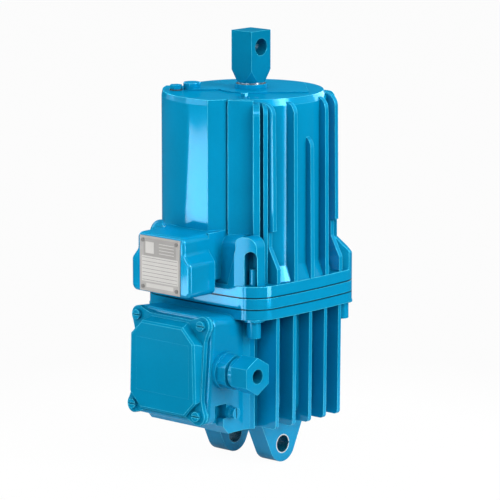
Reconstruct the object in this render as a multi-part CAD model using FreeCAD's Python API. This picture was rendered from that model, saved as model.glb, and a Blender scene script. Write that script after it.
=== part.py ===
import FreeCAD, Part
import math
import os

# Electro-hydraulic thruster, 50 mm stroke, about 300 N.
# Frame: the origin is on the foot pin axis midway between the two foot lugs, +Z runs up the piston rod,
# both pins lie along X, and the terminal box and rating plate face -Y. Every length is in millimetres.
# An azimuth is in degrees, from -Y towards +X.

# Connection sizes
PIN_DISTANCE = 370.0
STROKE = 50.0
PIN_BORE = 16.0
FOOT_BUSH_WALL = 1.0
FOOT_BUSH_SLIT = 1.2
FOOT_GAP = 40.0
FOOT_THICKNESS = 20.0
FOOT_END_RADIUS = 17.0
FOOT_ROOT_HALF = 31.0
EYE_THICKNESS = 25.0
EYE_DEPTH = 26.0
EYE_TOP_WALL = 7.0
EYE_NECK_RADIUS = 12.8
EYE_CONE_HEIGHT = 11.5
EYE_SQUARE_BELOW_PIN = 21.5
EYE_GAP = 1.5

# Heights of the three flanged castings
UNDERSIDE_Z = 26.0
MOTOR_FLANGE_Z = 131.0
MOTOR_FLANGE_THICKNESS = 9.5
BEARING_PLATE_THICKNESS = 11.0
HOUSING_FLANGE_THICKNESS = 10.5
PLATE_JOINT_BEVEL = 0.7

# Flange outline: a square with slightly bowed sides and round corners
FLANGE_CORNER_CENTRE = 48.2
FLANGE_CORNER_RADIUS = 26.0
FLANGE_BOW = 2.0

# Flange bolts, put in from below
BOLT_OUT_X = 10.8
BOLT_OUT_Y = 12.8
BOLT_DIAMETER = 8.0
BOLT_HEAD_DIAMETER = 13.0
BOLT_HEAD_HEIGHT = 15.5
BOLT_SOCKET_ACROSS = 6.0
BOLT_SOCKET_DEPTH = 5.0
BOLT_TOP_Z = 177.0
WASHER_DIAMETER = 20.0
WASHER_THICKNESS = 2.0

# Motor housing
MOTOR_CORE_RADIUS = 62.0
MOTOR_BORE_RADIUS = 54.0
MOTOR_WELL_RADIUS = 50.0
MOTOR_FLOOR_THICKNESS = 10.0
MOTOR_BOTTOM_ROUND = 20.0
STATOR_SEAT_Z = 58.0
FIN_COUNT_PER_SIDE = 5
FIN_PITCH = 21.4
FIN_THICKNESS = 4.0
FIN_INSET = 1.7
FIN_SIDE_DROP = 1.9
FIN_DRAFT = 1.0
FIN_FOOT_ROUND = 4.0
POST_TIP_RADIUS = 76.0
POST_WIDTH = 4.4
POST_AZIMUTHS = (43.2, 135.0, 225.0, 316.8)
POST_WEB_START = 64.0

# Terminal box, part of the motor casting; its mouth leans back at the top
BOX_FACE = 107.2
BOX_TILT = 4.5
BOX_CORNER_ROUND = 8.4
BOX_MOUTH_ROUND = 3.0
BOX_WALL = 8.0
BOX_BACK = 66.0
BOX_ROOT = 40.0
BOX_CAVITY_LOW_Z = 54.0
BOX_CAVITY_CORNER = 15.0
LEDGE_FRONT = 94.0
LEDGE_SLOPE = 10.0
CABLE_PASSAGE_RADIUS = 8.0
CABLE_PASSAGE_Z = 112.0

# Earth screw, on a boss beside a pocket of the terminal box's +X wall
EARTH_POCKET_DEPTH = 8.0
EARTH_POCKET_FRONT = 102.0
EARTH_POCKET_BACK = 86.5
EARTH_POCKET_LOW_Z = 41.0
EARTH_POCKET_HIGH_Z = 54.5
EARTH_NOTCH_BACK = 90.5
EARTH_BOSS_DIAMETER = 12.0
EARTH_BOSS_LENGTH = 3.6
EARTH_Y = -81.7
EARTH_Z = 45.9
EARTH_SCREW_DIAMETER = 5.0
EARTH_SCREW_LENGTH = 9.0
EARTH_HEAD_DIAMETER = 9.8
EARTH_HEAD_HEIGHT = 3.6
EARTH_WASHER_DIAMETER = 11.4
EARTH_WASHER_THICKNESS = 1.2

# Terminal box lid: a leaning rim plate and an upright panel with sloping sides and cut corners
LID_SCREW_X = 40.1
LID_SCREW_LOW_Z = 45.6
LID_SCREW_HIGH_Z = 128.6
LID_SCREW_DIAMETER = 5.0
LID_SCREW_HEAD_DIAMETER = 9.0
LID_SCREW_HEAD_HEIGHT = 3.6
LID_SCREW_LENGTH = 7.0
LID_SLOT_WIDTH = 1.3
LID_SLOT_DEPTH = 1.6
GASKET_THICKNESS = 1.5
LID_PLATE_THICKNESS = 4.0
LID_RIM_MARGIN = 3.5
LID_EAR_BLEND = 6.0
LID_FRONT = 121.1
LID_PANEL_LOW_HALF = 41.4
LID_PANEL_HIGH_HALF = 39.0
LID_PANEL_LOW_Z = 44.9
LID_PANEL_HIGH_Z = 126.7
LID_PANEL_CORNER = 13.2
LID_PANEL_BEVEL = 1.6
LID_SIDE_RUN = 3.5
LID_SIDE_DEPTH = 14.0
LID_WALL = 3.5

# Terminal board
BOARD_HALF_WIDTH = 26.0
BOARD_LOW_Z = 62.0
BOARD_HIGH_Z = 100.0
BOARD_THICKNESS = 6.0
STUD_PITCH_X = 16.0
STUD_PITCH_Z = 18.0
STUD_DIAMETER = 4.0
STUD_LENGTH = 14.0
STUD_NUT_ACROSS = 7.0
STUD_NUT_HEIGHT = 3.2

# Cable gland, on the +X wall of the terminal box
GLAND_Y = -88.7
GLAND_Z = 86.0
GLAND_THREAD_DIAMETER = 25.0
GLAND_BORE = 18.0
GLAND_COLLAR_DIAMETER = 34.5
GLAND_COLLAR_LENGTH = 4.0
GLAND_HEX_ACROSS = 29.5
GLAND_HEX_CORNER = 32.0
GLAND_HEX_LENGTH = 10.0
GLAND_NECK_DIAMETER = 25.0
GLAND_NECK_LENGTH = 14.0
GLAND_NUT_SKIRT_DIAMETER = 29.0
GLAND_NUT_SKIRT_LENGTH = 4.5
GLAND_NUT_ACROSS = 30.0
GLAND_NUT_LENGTH = 23.5
GLAND_NUT_GAP = 3.0
GLAND_CABLE_HOLE = 13.6
GLAND_SEAL_LENGTH = 12.0

# Upper housing
BARREL_RADIUS = 70.0
BARREL_BEVEL_WIDTH = 3.0
BARREL_BEVEL_HEIGHT = 6.0
SKIRT_INSET = 1.2
SKIRT_HEIGHT = 14.0
CHAMBER_RADIUS = 60.0
PUMP_BORE_STEP = 4.0
PUMP_BORE_HEIGHT = 28.5
HOUSING_TOP_WALL = 12.0
JACKET_OVERHANG = 6.5
JACKET_START = -64.0
JACKET_END = 14.0
JACKET_FLANK_END = 24.2
JACKET_FLANK_RADIUS = 71.6
JACKET_WALL = 6.0
JACKET_TOP_WALL = 12.0
JACKET_BEVEL_WIDTH = 0.9
JACKET_BEVEL_HEIGHT = 5.0
PANEL_RADIUS = 73.0
PANEL_START = 25.5
PANEL_END = 44.0
PANEL_TOP_DROP = 0.3
RIB_PITCH = 21.4
RIB_THICKNESS = 4.6
RIB_TOP_ROUND = 11.0
RIB_TOP_DROP = 3.0
RIB_DRAFT = 1.2
RIB_CENTRE_INSET = 0.7
RIB_INNER_INSET = 1.9
RIB_OUTER_TIP = 67.2
RIB_CENTRE_TOP_DROP = 36.0
RIB_FOOT_INSET = 2.7
RIB_FOOT_HEIGHT = 14.0
RIB_WAIST = 63.0
RIB_WAIST_HEIGHT = 33.0
RIB_WAIST_LENGTH = 14.0
RIB_WAIST_RUN = 1.5
CORNER_RIB_TIP = 79.0
CORNER_RIB_AZIMUTHS = (46.0, 52.0)
CORNER_RIB_WIDTHS = (6.0, 4.0)

# Bolt towers on the upper housing's flange
TOWER_HEIGHT = 45.0
TOWER_INWARD = 40.0
TOWER_OUTWARD = 7.5
TOWER_BACKWARD = 7.0
TOWER_ROUND = 12.0
TOWER_INSET = 3.0
TOWER_DRAFT = 2.5
TOWER_FACE_INSET = 0.3
TOWER_EDGE_ROUND = 6.0
TOWER_SHOULDER = 10.0
TOWER_FACE_AZIMUTH = 25.0
TOWER_GUSSET_WIDTH = 9.2
TOWER_GUSSET_HEIGHT = 33.0
WINDOW_WIDTH = 12.0
WINDOW_OFFSET = 0.8
WINDOW_HEIGHT = 32.0
WINDOW_DEPTH = 8.0
WINDOW_REACH = 30.0
BACK_TOWER_AZIMUTH = 135.0
BACK_TOWER_WIDTH = 26.0
BACK_TOWER_EDGE_HEIGHT = 14.0

# Rating plate block on the upper housing
BLOCK_FACE = 122.0
BLOCK_BACK = 88.5
BLOCK_LOW_Z = 154.5
BLOCK_HIGH_Z = 210.0
BLOCK_TOP_HALF = 29.0
BLOCK_WIDE_HALF = 36.5
BLOCK_WIDE_TOP_Z = 185.0
BLOCK_NARROW_LOW_Z = 194.0
BLOCK_ROUND = 6.0
BLOCK_EDGE_ROUND = 3.0
BLOCK_NECK_LOW_Z = 166.0
PLATE_WIDTH = 50.0
PLATE_HEIGHT = 51.0
PLATE_LOW_Z = 156.0
PLATE_THICKNESS = 0.8
RIVET_DIAMETER = 2.4
RIVET_HEAD_DIAMETER = 3.6
RIVET_HEAD_HEIGHT = 0.8
RIVET_DEPTH = 5.0
RIVET_INSET = 4.0

# Top cover and filler plug
COVER_THICKNESS = 1.2
COVER_HUB_RADIUS = 30.0
COVER_ARM_HALF_WIDTH = 27.0
COVER_ARM_REACH = 51.6
COVER_ARM_AZIMUTH = 135.0
TONGUE_AZIMUTH = -46.0
TONGUE_HALF_WIDTH = 8.0
TONGUE_REACH = 54.5
BREATHER_RISE = 5.6
BREATHER_ROUND = 1.0
FILLER_AZIMUTH = -42.0
FILLER_RADIUS = 69.5
FILLER_THREAD_DIAMETER = 8.0
FILLER_HEAD_ACROSS = 10.0
FILLER_HEAD_HEIGHT = 4.0
FILLER_SEAL_DIAMETER = 11.6
FILLER_SEAL_THICKNESS = 1.0
FILLER_THREAD_LENGTH = 9.0

# Piston, rod and cylinder
ROD_DIAMETER = 24.0
ROD_SPIGOT_DIAMETER = 16.0
ROD_EYE_ENGAGEMENT = 14.0
GUIDE_BUSH_DIAMETER = 30.0
GUIDE_BUSH_LENGTH = 34.0
GUIDE_BUSH_RISE = 4.3
GUIDE_BOSS_DIAMETER = 48.0
STOP_GAP = 0.5
WIPER_DIAMETER = 27.5
WIPER_DEPTH = 4.0
SLEEVE_BORE = 84.0
SLEEVE_WALL = 4.0
SLEEVE_PORT_DIAMETER = 12.0
SLEEVE_PORT_COUNT = 6
SLEEVE_PORT_DROP = 14.0
PISTON_HEIGHT = 18.0
PISTON_RING_HEIGHT = 4.0
PISTON_RING_DEPTH = 3.5
PISTON_RING_DROP = 7.0
PISTON_RING_GAP = 1.0
PISTON_DISH_RADIUS = 32.0
PISTON_DISH_DEPTH = 6.0
PISTON_HUB_RADIUS = 20.0
PISTON_NUT_ACROSS = 24.0
PISTON_NUT_HEIGHT = 8.0
PISTON_NUT_POCKET_RADIUS = 15.5
DIFFUSER_THICKNESS = 6.0
DIFFUSER_EYE_RADIUS = 16.0
DIFFUSER_PORT_RADIUS = 4.0
DIFFUSER_PORT_INSET = 6.0
DIFFUSER_PORT_COUNT = 10

# Motor and pump
STATOR_LENGTH = 45.0
STATOR_BORE_RADIUS = 30.0
STATOR_SLOTS = 12
SLOT_WIDTH = 3.0
SLOT_DEPTH = 12.0
COIL_INNER_RADIUS = 34.0
COIL_OUTER_RADIUS = 48.0
COIL_HEIGHT = 11.0
COIL_CORNER = 3.5
AIR_GAP = 0.5
END_RING_OUTER_RADIUS = 28.0
END_RING_INNER_RADIUS = 18.0
END_RING_HEIGHT = 6.0
SHAFT_RADIUS = 10.0
JOURNAL_RADIUS = 7.5
SHAFT_NOSE_RADIUS = 6.0
BEARING_RADIUS = 17.5
BEARING_INNER_RADIUS = 12.0
BEARING_RACE_RADIUS = 14.5
BEARING_WIDTH = 11.0
BEARING_SHIELD = 1.5
BEARING_RELIEF_RADIUS = 13.5
BEARING_RELIEF = 1.0
BEARING_HUB_RADIUS = 24.0
UPPER_BEARING_DROP = 16.0
SHAFT_HOLE_RADIUS = 9.0
SEAL_RADIUS = 14.0
SEAL_HEIGHT = 7.0
IMPELLER_RADIUS = 40.0
IMPELLER_HUB_RADIUS = 13.0
IMPELLER_DISC = 3.0
IMPELLER_LIFT = 4.5
BLADE_COUNT = 7
BLADE_HEIGHT = 8.0
BLADE_THICKNESS = 2.4
BLADE_CURVE_RADIUS = 26.0
IMPELLER_NUT_ACROSS = 17.0
IMPELLER_NUT_HEIGHT = 5.5
O_RING_CORD = 3.0
MOTOR_O_RING_RADIUS = 59.0
HOUSING_O_RING_RADIUS = 69.0
GROOVE_DEPTH = 2.9

# Clearances
SEAT = 0.02
RUNNING = 0.08
RING_RUNNING = 0.05
FREE = 0.3
SCREW_HOLE = 0.5
THREAD = 0.1

# Levels worked out from the sizes above
MOTOR_JOINT_Z = MOTOR_FLANGE_Z + MOTOR_FLANGE_THICKNESS
HOUSING_JOINT_Z = MOTOR_JOINT_Z + BEARING_PLATE_THICKNESS
FLANGE_TOP_Z = HOUSING_JOINT_Z + HOUSING_FLANGE_THICKNESS
EYE_SQUARE_Z = PIN_DISTANCE - EYE_SQUARE_BELOW_PIN
EYE_LOW_Z = EYE_SQUARE_Z - EYE_CONE_HEIGHT
EYE_TOP_Z = PIN_DISTANCE + PIN_BORE / 2 + EYE_TOP_WALL
GUIDE_BUSH_TOP_Z = EYE_LOW_Z - EYE_GAP
COVER_TOP_Z = GUIDE_BUSH_TOP_Z - GUIDE_BUSH_RISE
HOUSING_TOP_Z = COVER_TOP_Z - COVER_THICKNESS
CHAMBER_TOP_Z = HOUSING_TOP_Z - HOUSING_TOP_WALL
DIFFUSER_TOP_Z = HOUSING_JOINT_Z + PUMP_BORE_HEIGHT
FLOOR_Z = UNDERSIDE_Z + MOTOR_FLOOR_THICKNESS
STATOR_TOP_Z = STATOR_SEAT_Z + STATOR_LENGTH
UPPER_BEARING_Z = MOTOR_JOINT_Z - UPPER_BEARING_DROP
IMPELLER_Z = HOUSING_JOINT_Z + IMPELLER_LIFT
BLADE_TOP_Z = IMPELLER_Z + IMPELLER_DISC + BLADE_HEIGHT
PISTON_Z = DIFFUSER_TOP_Z + FREE
PISTON_TOP_Z = PISTON_Z + PISTON_HEIGHT
BOLT_HOLE_RADIUS = BOLT_DIAMETER / 2 + SCREW_HOLE
LID_BASE = BOX_FACE + GASKET_THICKNESS
LID_FACE = LID_BASE + LID_PLATE_THICKNESS
BOX_HALF_WIDTH = LID_SCREW_X + BOX_CORNER_ROUND
BOX_LOW_Z = LID_SCREW_LOW_Z - BOX_CORNER_ROUND
BOX_HIGH_Z = LID_SCREW_HIGH_Z + BOX_CORNER_ROUND
STOP_Z = PISTON_TOP_Z + STROKE + STOP_GAP

# Places worked out from the flange outline
FLANGE_HALF = FLANGE_CORNER_CENTRE + FLANGE_CORNER_RADIUS + FLANGE_BOW
BOLT_X = FLANGE_CORNER_CENTRE + BOLT_OUT_X
BOLT_Y = FLANGE_CORNER_CENTRE + BOLT_OUT_Y
FIN_TIP = FLANGE_HALF - FIN_INSET
SKIRT_RADIUS = FLANGE_HALF - SKIRT_INSET
JACKET_RADIUS = FLANGE_HALF + JACKET_OVERHANG
PUMP_BORE_RADIUS = CHAMBER_RADIUS + PUMP_BORE_STEP
DIFFUSER_PORT_CIRCLE = CHAMBER_RADIUS - DIFFUSER_PORT_INSET
RIB_CENTRE_TIP = FLANGE_HALF - RIB_CENTRE_INSET
RIB_INNER_TIP = FLANGE_HALF - RIB_INNER_INSET
RIB_FOOT_TIP = FLANGE_HALF - RIB_FOOT_INSET
TOWER_INNER_X = BOLT_X - TOWER_INWARD
TOWER_OUTER_X = BOLT_X + TOWER_OUTWARD
TOWER_BACK_Y = TOWER_BACKWARD - BOLT_Y
FLANGE_SIDE = FLANGE_CORNER_CENTRE + FLANGE_CORNER_RADIUS
TOWER_FACE = (FLANGE_CORNER_CENTRE * math.sin(math.radians(TOWER_FACE_AZIMUTH))
              + FLANGE_SIDE * math.cos(math.radians(TOWER_FACE_AZIMUTH)) - TOWER_FACE_INSET)

V = FreeCAD.Vector
X_AXIS = V(1, 0, 0)
Y_AXIS = V(0, 1, 0)
Z_AXIS = V(0, 0, 1)
ORIGIN = V(0, 0, 0)
FULL_TURN = 360.0
HALF_TURN = 180.0
QUARTER_TURN = 90.0


def on_xy(z):
    return lambda a, b: V(a, b, z)


def on_xz(y):
    return lambda a, b: V(a, y, b)


def on_yz(x):
    return lambda a, b: V(x, a, b)


def outline(corners, place):
    """Closed wire through (a, b, radius) corners, each rounded to its radius."""
    points = [(V(a, b, 0), radius) for a, b, radius in corners]
    stops = []
    for i, (corner, radius) in enumerate(points):
        to_last = (points[i - 1][0] - corner).normalize()
        to_next = (points[(i + 1) % len(points)][0] - corner).normalize()
        if radius == 0:
            stops.append((corner, corner, corner))
            continue
        half = to_last.getAngle(to_next) / 2
        reach = radius / math.tan(half)
        middle = (to_last + to_next).normalize() * (radius / math.sin(half) - radius)
        stops.append((corner + to_last * reach, corner + middle, corner + to_next * reach))
    edges = []
    for i, (enter, middle, leave) in enumerate(stops):
        enter, middle, leave = (place(p.x, p.y) for p in (enter, middle, leave))
        if enter.distanceToPoint(leave) > 1e-6:
            edges.append(Part.Arc(enter, middle, leave).toShape())
        following = place(*stops[(i + 1) % len(stops)][0][:2])
        if leave.distanceToPoint(following) > 1e-6:
            edges.append(Part.LineSegment(leave, following).toShape())
    return Part.Wire(edges)


def slab(corners, place, depth):
    return Part.Face(outline(corners, place)).extrude(depth)


def rod(radius, start, direction, length):
    return Part.makeCylinder(radius, length, start, direction)


def disc(radius, z0, z1, x=0.0, y=0.0):
    return rod(radius, V(x, y, z0), Z_AXIS, z1 - z0)


def ring(outer, inner, z0, z1):
    return disc(outer, z0, z1).cut(disc(inner, z0, z1))


def block(x0, x1, y0, y1, z0, z1):
    return Part.makeBox(x1 - x0, y1 - y0, z1 - z0, V(x0, y0, z0))


def turned_profile(corners):
    """Solid of revolution about Z from (radius, z, round) corners."""
    return Part.Face(outline(corners, on_xz(0))).revolve(ORIGIN, Z_AXIS, FULL_TURN)


def turned(shape, degrees):
    copy = shape.copy()
    copy.rotate(ORIGIN, Z_AXIS, degrees)
    return copy


def at_azimuth(shape, azimuth):
    """Turn a shape made along +X so that it points along an azimuth."""
    return turned(shape, azimuth - 90)


def flipped(shape):
    """Mirror image in the YZ plane."""
    return shape.mirror(ORIGIN, X_AXIS)


def polar(radius, azimuth):
    angle = math.radians(azimuth)
    return radius * math.sin(angle), -radius * math.cos(angle)


def hexagon(across, start, direction, length):
    """Hexagonal bar about an axis along X, Y or Z, with a corner pointing up or along X."""
    radius = across / math.sqrt(3)
    corners = []
    for i in range(6):
        angle = math.radians(60 * i)
        side = radius * math.sin(angle)
        up = radius * math.cos(angle)
        if direction.z:
            corners.append(start + V(up, side, 0))
        elif direction.x:
            corners.append(start + V(0, side, up))
        else:
            corners.append(start + V(side, 0, up))
    return Part.Face(Part.makePolygon(corners + corners[:1])).extrude(direction * length)


def fused(shapes):
    return shapes[0].multiFuse(shapes[1:]).removeSplitter()


def without(shape, tools):
    return shape.cut(tools)


def edges_on(shape, axis, value):
    """Edges that lie in the plane where the axis coordinate has this value."""
    near = 1e-4
    low = axis + "Min"
    high = axis + "Max"
    return [e for e in shape.Edges
            if abs(getattr(e.BoundBox, low) - value) < near and abs(getattr(e.BoundBox, high) - value) < near]


def bolt_places():
    return [(x, y) for x in (BOLT_X, -BOLT_X) for y in (BOLT_Y, -BOLT_Y)]


def lid_screw_places():
    return [(x, z) for x in (LID_SCREW_X, -LID_SCREW_X) for z in (LID_SCREW_LOW_Z, LID_SCREW_HIGH_Z)]


def flange_plate(z0, z1):
    """Square with bowed sides and round corners, the joint outline of all three castings."""
    centre = FLANGE_CORNER_CENTRE
    radius = FLANGE_CORNER_RADIUS
    beyond = FLANGE_HALF - centre
    side_radius = (centre ** 2 + beyond ** 2 - radius ** 2) / (2 * (beyond - radius))
    lean = math.asin(centre / (side_radius - radius))
    near = V(centre + radius * math.sin(lean), -centre - radius * math.cos(lean), z0)
    far = V(centre + radius * math.cos(lean), -centre - radius * math.sin(lean), z0)
    diagonal = centre + radius * math.sqrt(0.5)
    side = Part.Arc(V(-near.x, near.y, z0), V(0, -FLANGE_HALF, z0), near).toShape()
    corner = Part.Arc(near, V(diagonal, -diagonal, z0), far).toShape()
    edges = []
    for quarter in range(4):
        edges.append(turned(side, QUARTER_TURN * quarter))
        edges.append(turned(corner, QUARTER_TURN * quarter))
    return Part.Face(Part.Wire(edges)).extrude(V(0, 0, z1 - z0))


def sector(radius, start, end, z0, z1):
    """Part of a cylinder about Z, between two azimuths."""
    return turned(Part.makeCylinder(radius, z1 - z0, V(0, 0, z0), Z_AXIS, end - start), start - QUARTER_TURN)


def tilted(shape):
    """Lean a shape made along Y back at its top, as the terminal box's mouth leans."""
    copy = shape.copy()
    copy.rotate(V(0, -BOX_FACE, (LID_SCREW_LOW_Z + LID_SCREW_HIGH_Z) / 2), X_AXIS, -BOX_TILT)
    return copy


def cut_corner_outline(half, low, high, cut):
    """Corners of an upright rectangle with its corners cut off at 45 degrees."""
    return [(-half, low + cut, 0), (-half + cut, low, 0), (half - cut, low, 0), (half, low + cut, 0),
            (half, high - cut, 0), (half - cut, high, 0), (-half + cut, high, 0), (-half, high - cut, 0)]


def box_slab(y, depth):
    """Terminal box section with round corners about its screws, run along Y."""
    half = BOX_HALF_WIDTH
    corner = BOX_CORNER_ROUND
    corners = [(-half, BOX_LOW_Z, corner), (half, BOX_LOW_Z, corner),
               (half, BOX_HIGH_Z, corner), (-half, BOX_HIGH_Z, corner)]
    return slab(corners, on_xz(y), Y_AXIS * depth)


def rim_slab(y, depth):
    """Lid rim: a plate set in from the box's sides, with a round ear about each screw."""
    half = LID_SCREW_X + LID_RIM_MARGIN
    low = LID_SCREW_LOW_Z - LID_RIM_MARGIN
    high = LID_SCREW_HIGH_Z + LID_RIM_MARGIN
    blend = LID_EAR_BLEND
    corners = [(-half, low, 0), (half, low, 0), (half, high, 0), (-half, high, 0)]
    pieces = [slab(corners, on_xz(y), Y_AXIS * depth)]
    for x, z in lid_screw_places():
        out = math.copysign(1, x)
        up = math.copysign(1, z - (low + high) / 2)
        side = BOX_CORNER_ROUND
        flank = [(x + out * side, z, 0), (x + out * LID_RIM_MARGIN, z - up * (side + blend), 0),
                 (x - out * (side + blend), z + up * LID_RIM_MARGIN, 0), (x, z + up * side, 0)]
        pieces.append(slab(flank, on_xz(y), Y_AXIS * depth))
        pieces.append(rod(side, V(x, y, z), Y_AXIS, depth))
    return fused(pieces)


def panel_slab(inset, cut, y, depth):
    """Eight-sided section of the lid panel, wider at the bottom, run along Y."""
    low_half = LID_PANEL_LOW_HALF - inset
    high_half = LID_PANEL_HIGH_HALF - inset
    low = LID_PANEL_LOW_Z + inset
    high = LID_PANEL_HIGH_Z - inset
    lean = (low_half - high_half) / (high - low) * cut
    right = [(low_half - cut, low, 0), (low_half - lean, low + cut, 0),
             (high_half + lean, high - cut, 0), (high_half - cut, high, 0)]
    left = [(-a, b, 0) for a, b, r in reversed(right)]
    return slab(right + left, on_xz(y), Y_AXIS * depth)


def motor_fins():
    fins = []
    for i in range(FIN_COUNT_PER_SIDE):
        step = i - (FIN_COUNT_PER_SIDE - 1) / 2
        share = step / ((FIN_COUNT_PER_SIDE - 1) / 2)
        tip = FIN_TIP - FIN_SIDE_DROP * share ** 2
        root = MOTOR_BORE_RADIUS * math.sqrt(1 - (step * FIN_PITCH / MOTOR_BORE_RADIUS) ** 2) + SEAT
        low_tip = tip - FIN_DRAFT
        corners = [(root, UNDERSIDE_Z, 0), (low_tip, UNDERSIDE_Z, FIN_FOOT_ROUND),
                   (tip, MOTOR_JOINT_Z, 0), (root, MOTOR_JOINT_Z, 0)]
        y = step * FIN_PITCH - FIN_THICKNESS / 2
        fins.append(slab(corners, on_xz(y), Y_AXIS * FIN_THICKNESS))
    return fins


def foot_lug(x0):
    """Lug plate whose straight flanks run onto its round end."""
    height = UNDERSIDE_Z
    reach = math.hypot(FOOT_ROOT_HALF, height)
    flank = math.acos(FOOT_END_RADIUS / reach) - math.atan2(height, FOOT_ROOT_HALF)
    top = UNDERSIDE_Z + MOTOR_FLOOR_THICKNESS
    top_half = FOOT_ROOT_HALF + MOTOR_FLOOR_THICKNESS * math.tan(flank)
    point = (0, -FOOT_END_RADIUS / math.sin(flank), FOOT_END_RADIUS)
    corners = [(-top_half, top, 0), point, (top_half, top, 0)]
    return slab(corners, on_yz(x0), X_AXIS * FOOT_THICKNESS)


def post_web():
    """Web that closes the corner between the terminal box's +X wall and the post beside it."""
    azimuth = POST_AZIMUTHS[0]
    angle = math.radians(azimuth)
    x, y = polar(POST_TIP_RADIUS, azimuth)
    tip = (x - POST_WIDTH / 2 * math.cos(angle), y - POST_WIDTH / 2 * math.sin(angle), 0)
    root = polar(MOTOR_BORE_RADIUS + SEAT, azimuth) + (0,)
    corners = [(BOX_HALF_WIDTH, -POST_WEB_START, 0), tip, root,
               (BOX_HALF_WIDTH - BOX_WALL, -POST_WEB_START, 0)]
    return slab(corners, on_xy(UNDERSIDE_Z), Z_AXIS * (MOTOR_JOINT_Z - UNDERSIDE_Z))


def motor_housing():
    core = disc(MOTOR_CORE_RADIUS, UNDERSIDE_Z, MOTOR_JOINT_Z)
    core = core.makeFillet(MOTOR_BOTTOM_ROUND, edges_on(core, "Z", UNDERSIDE_Z))
    pieces = [core, flange_plate(MOTOR_FLANGE_Z, MOTOR_JOINT_Z)]
    for side in (0, QUARTER_TURN, HALF_TURN):
        pieces += [turned(fin, side) for fin in motor_fins()]
    post = block(MOTOR_BORE_RADIUS + SEAT, POST_TIP_RADIUS, -POST_WIDTH / 2, POST_WIDTH / 2,
                 UNDERSIDE_Z, MOTOR_JOINT_Z)
    pieces += [at_azimuth(post, azimuth) for azimuth in POST_AZIMUTHS]
    pieces += [post_web(), flipped(post_web())]
    box = box_slab(-BOX_FACE, BOX_FACE - BOX_ROOT)
    pieces.append(tilted(box.makeFillet(BOX_MOUTH_ROUND, edges_on(box, "Y", -BOX_FACE))))
    ledge = [(-LEDGE_FRONT, BOX_LOW_Z + LEDGE_SLOPE, 0), (-LEDGE_FRONT, BOX_LOW_Z, 0),
             (-LEDGE_FRONT + LEDGE_SLOPE, UNDERSIDE_Z, 0), (-BOX_ROOT, UNDERSIDE_Z, 0),
             (-BOX_ROOT, BOX_LOW_Z + LEDGE_SLOPE, 0)]
    pieces.append(slab(ledge, on_yz(-BOX_HALF_WIDTH), X_AXIS * 2 * BOX_HALF_WIDTH))
    pieces += [foot_lug(FOOT_GAP / 2), foot_lug(-FOOT_GAP / 2 - FOOT_THICKNESS)]
    casting = fused(pieces)

    well = disc(MOTOR_WELL_RADIUS, FLOOR_Z, STATOR_SEAT_Z)
    bore = disc(MOTOR_BORE_RADIUS, STATOR_SEAT_Z, MOTOR_JOINT_Z)
    casting = without(casting, [well, bore])
    hub = disc(BEARING_HUB_RADIUS, FLOOR_Z, FLOOR_Z + BEARING_WIDTH)
    casting = fused([casting, hub])

    tools = [disc(BEARING_RADIUS, FLOOR_Z, FLOOR_Z + BEARING_WIDTH),
             disc(BEARING_RELIEF_RADIUS, FLOOR_Z - BEARING_RELIEF, FLOOR_Z)]
    foot_width = FOOT_GAP + 2 * FOOT_THICKNESS
    tools.append(rod(PIN_BORE / 2 + FOOT_BUSH_WALL + SEAT, V(-foot_width / 2, 0, 0), X_AXIS, foot_width))
    inner = BOX_HALF_WIDTH - BOX_WALL
    cavity = cut_corner_outline(inner, BOX_CAVITY_LOW_Z, BOX_HIGH_Z - BOX_WALL, BOX_CAVITY_CORNER)
    tools.append(tilted(slab(cavity, on_xz(-BOX_FACE), Y_AXIS * (BOX_FACE - BOX_BACK))))
    tools.append(rod(CABLE_PASSAGE_RADIUS, V(0, -BOX_BACK, CABLE_PASSAGE_Z), Y_AXIS,
                     BOX_BACK - MOTOR_WELL_RADIUS))
    tools.append(rod(GLAND_THREAD_DIAMETER / 2 + THREAD, V(inner, GLAND_Y, GLAND_Z), X_AXIS, BOX_WALL))
    for x, y in bolt_places():
        tools.append(disc(BOLT_HOLE_RADIUS, MOTOR_FLANGE_Z, MOTOR_JOINT_Z, x, y))
        tools.append(disc(WASHER_DIAMETER / 2 + FREE, MOTOR_FLANGE_Z - WASHER_THICKNESS - FREE,
                          MOTOR_FLANGE_Z, x, y))
    for x, z in lid_screw_places():
        start = V(x, -BOX_FACE, z)
        tools.append(tilted(rod(LID_SCREW_DIAMETER / 2 + THREAD, start, Y_AXIS, LID_SCREW_LENGTH)))
    pocket_x = BOX_HALF_WIDTH - EARTH_POCKET_DEPTH
    tools.append(block(pocket_x, BOX_HALF_WIDTH, -EARTH_POCKET_FRONT, -EARTH_POCKET_BACK,
                       EARTH_POCKET_LOW_Z, EARTH_POCKET_HIGH_Z))
    tools.append(block(pocket_x, BOX_HALF_WIDTH, -EARTH_POCKET_FRONT, -EARTH_NOTCH_BACK,
                       UNDERSIDE_Z, EARTH_POCKET_LOW_Z))
    casting = without(casting, tools)
    boss = rod(EARTH_BOSS_DIAMETER / 2, V(BOX_HALF_WIDTH, EARTH_Y, EARTH_Z), X_AXIS, EARTH_BOSS_LENGTH)
    screw_hole = rod(EARTH_SCREW_DIAMETER / 2 + THREAD, earth_seat(), X_AXIS * -1, EARTH_SCREW_LENGTH)
    return fused([casting, boss]).cut(screw_hole)


def foot_bushes():
    """Wrapped steel bushes, each with its open seam."""
    outer = PIN_BORE / 2 + FOOT_BUSH_WALL
    bushes = []
    for x0 in (FOOT_GAP / 2, -FOOT_GAP / 2 - FOOT_THICKNESS):
        start = V(x0, 0, 0)
        bush = rod(outer, start, X_AXIS, FOOT_THICKNESS).cut(rod(PIN_BORE / 2, start, X_AXIS, FOOT_THICKNESS))
        seam = block(x0, x0 + FOOT_THICKNESS, 0, outer, -FOOT_BUSH_SLIT / 2, FOOT_BUSH_SLIT / 2)
        bushes.append(bush.cut(seam))
    return Part.makeCompound(bushes)


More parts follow.
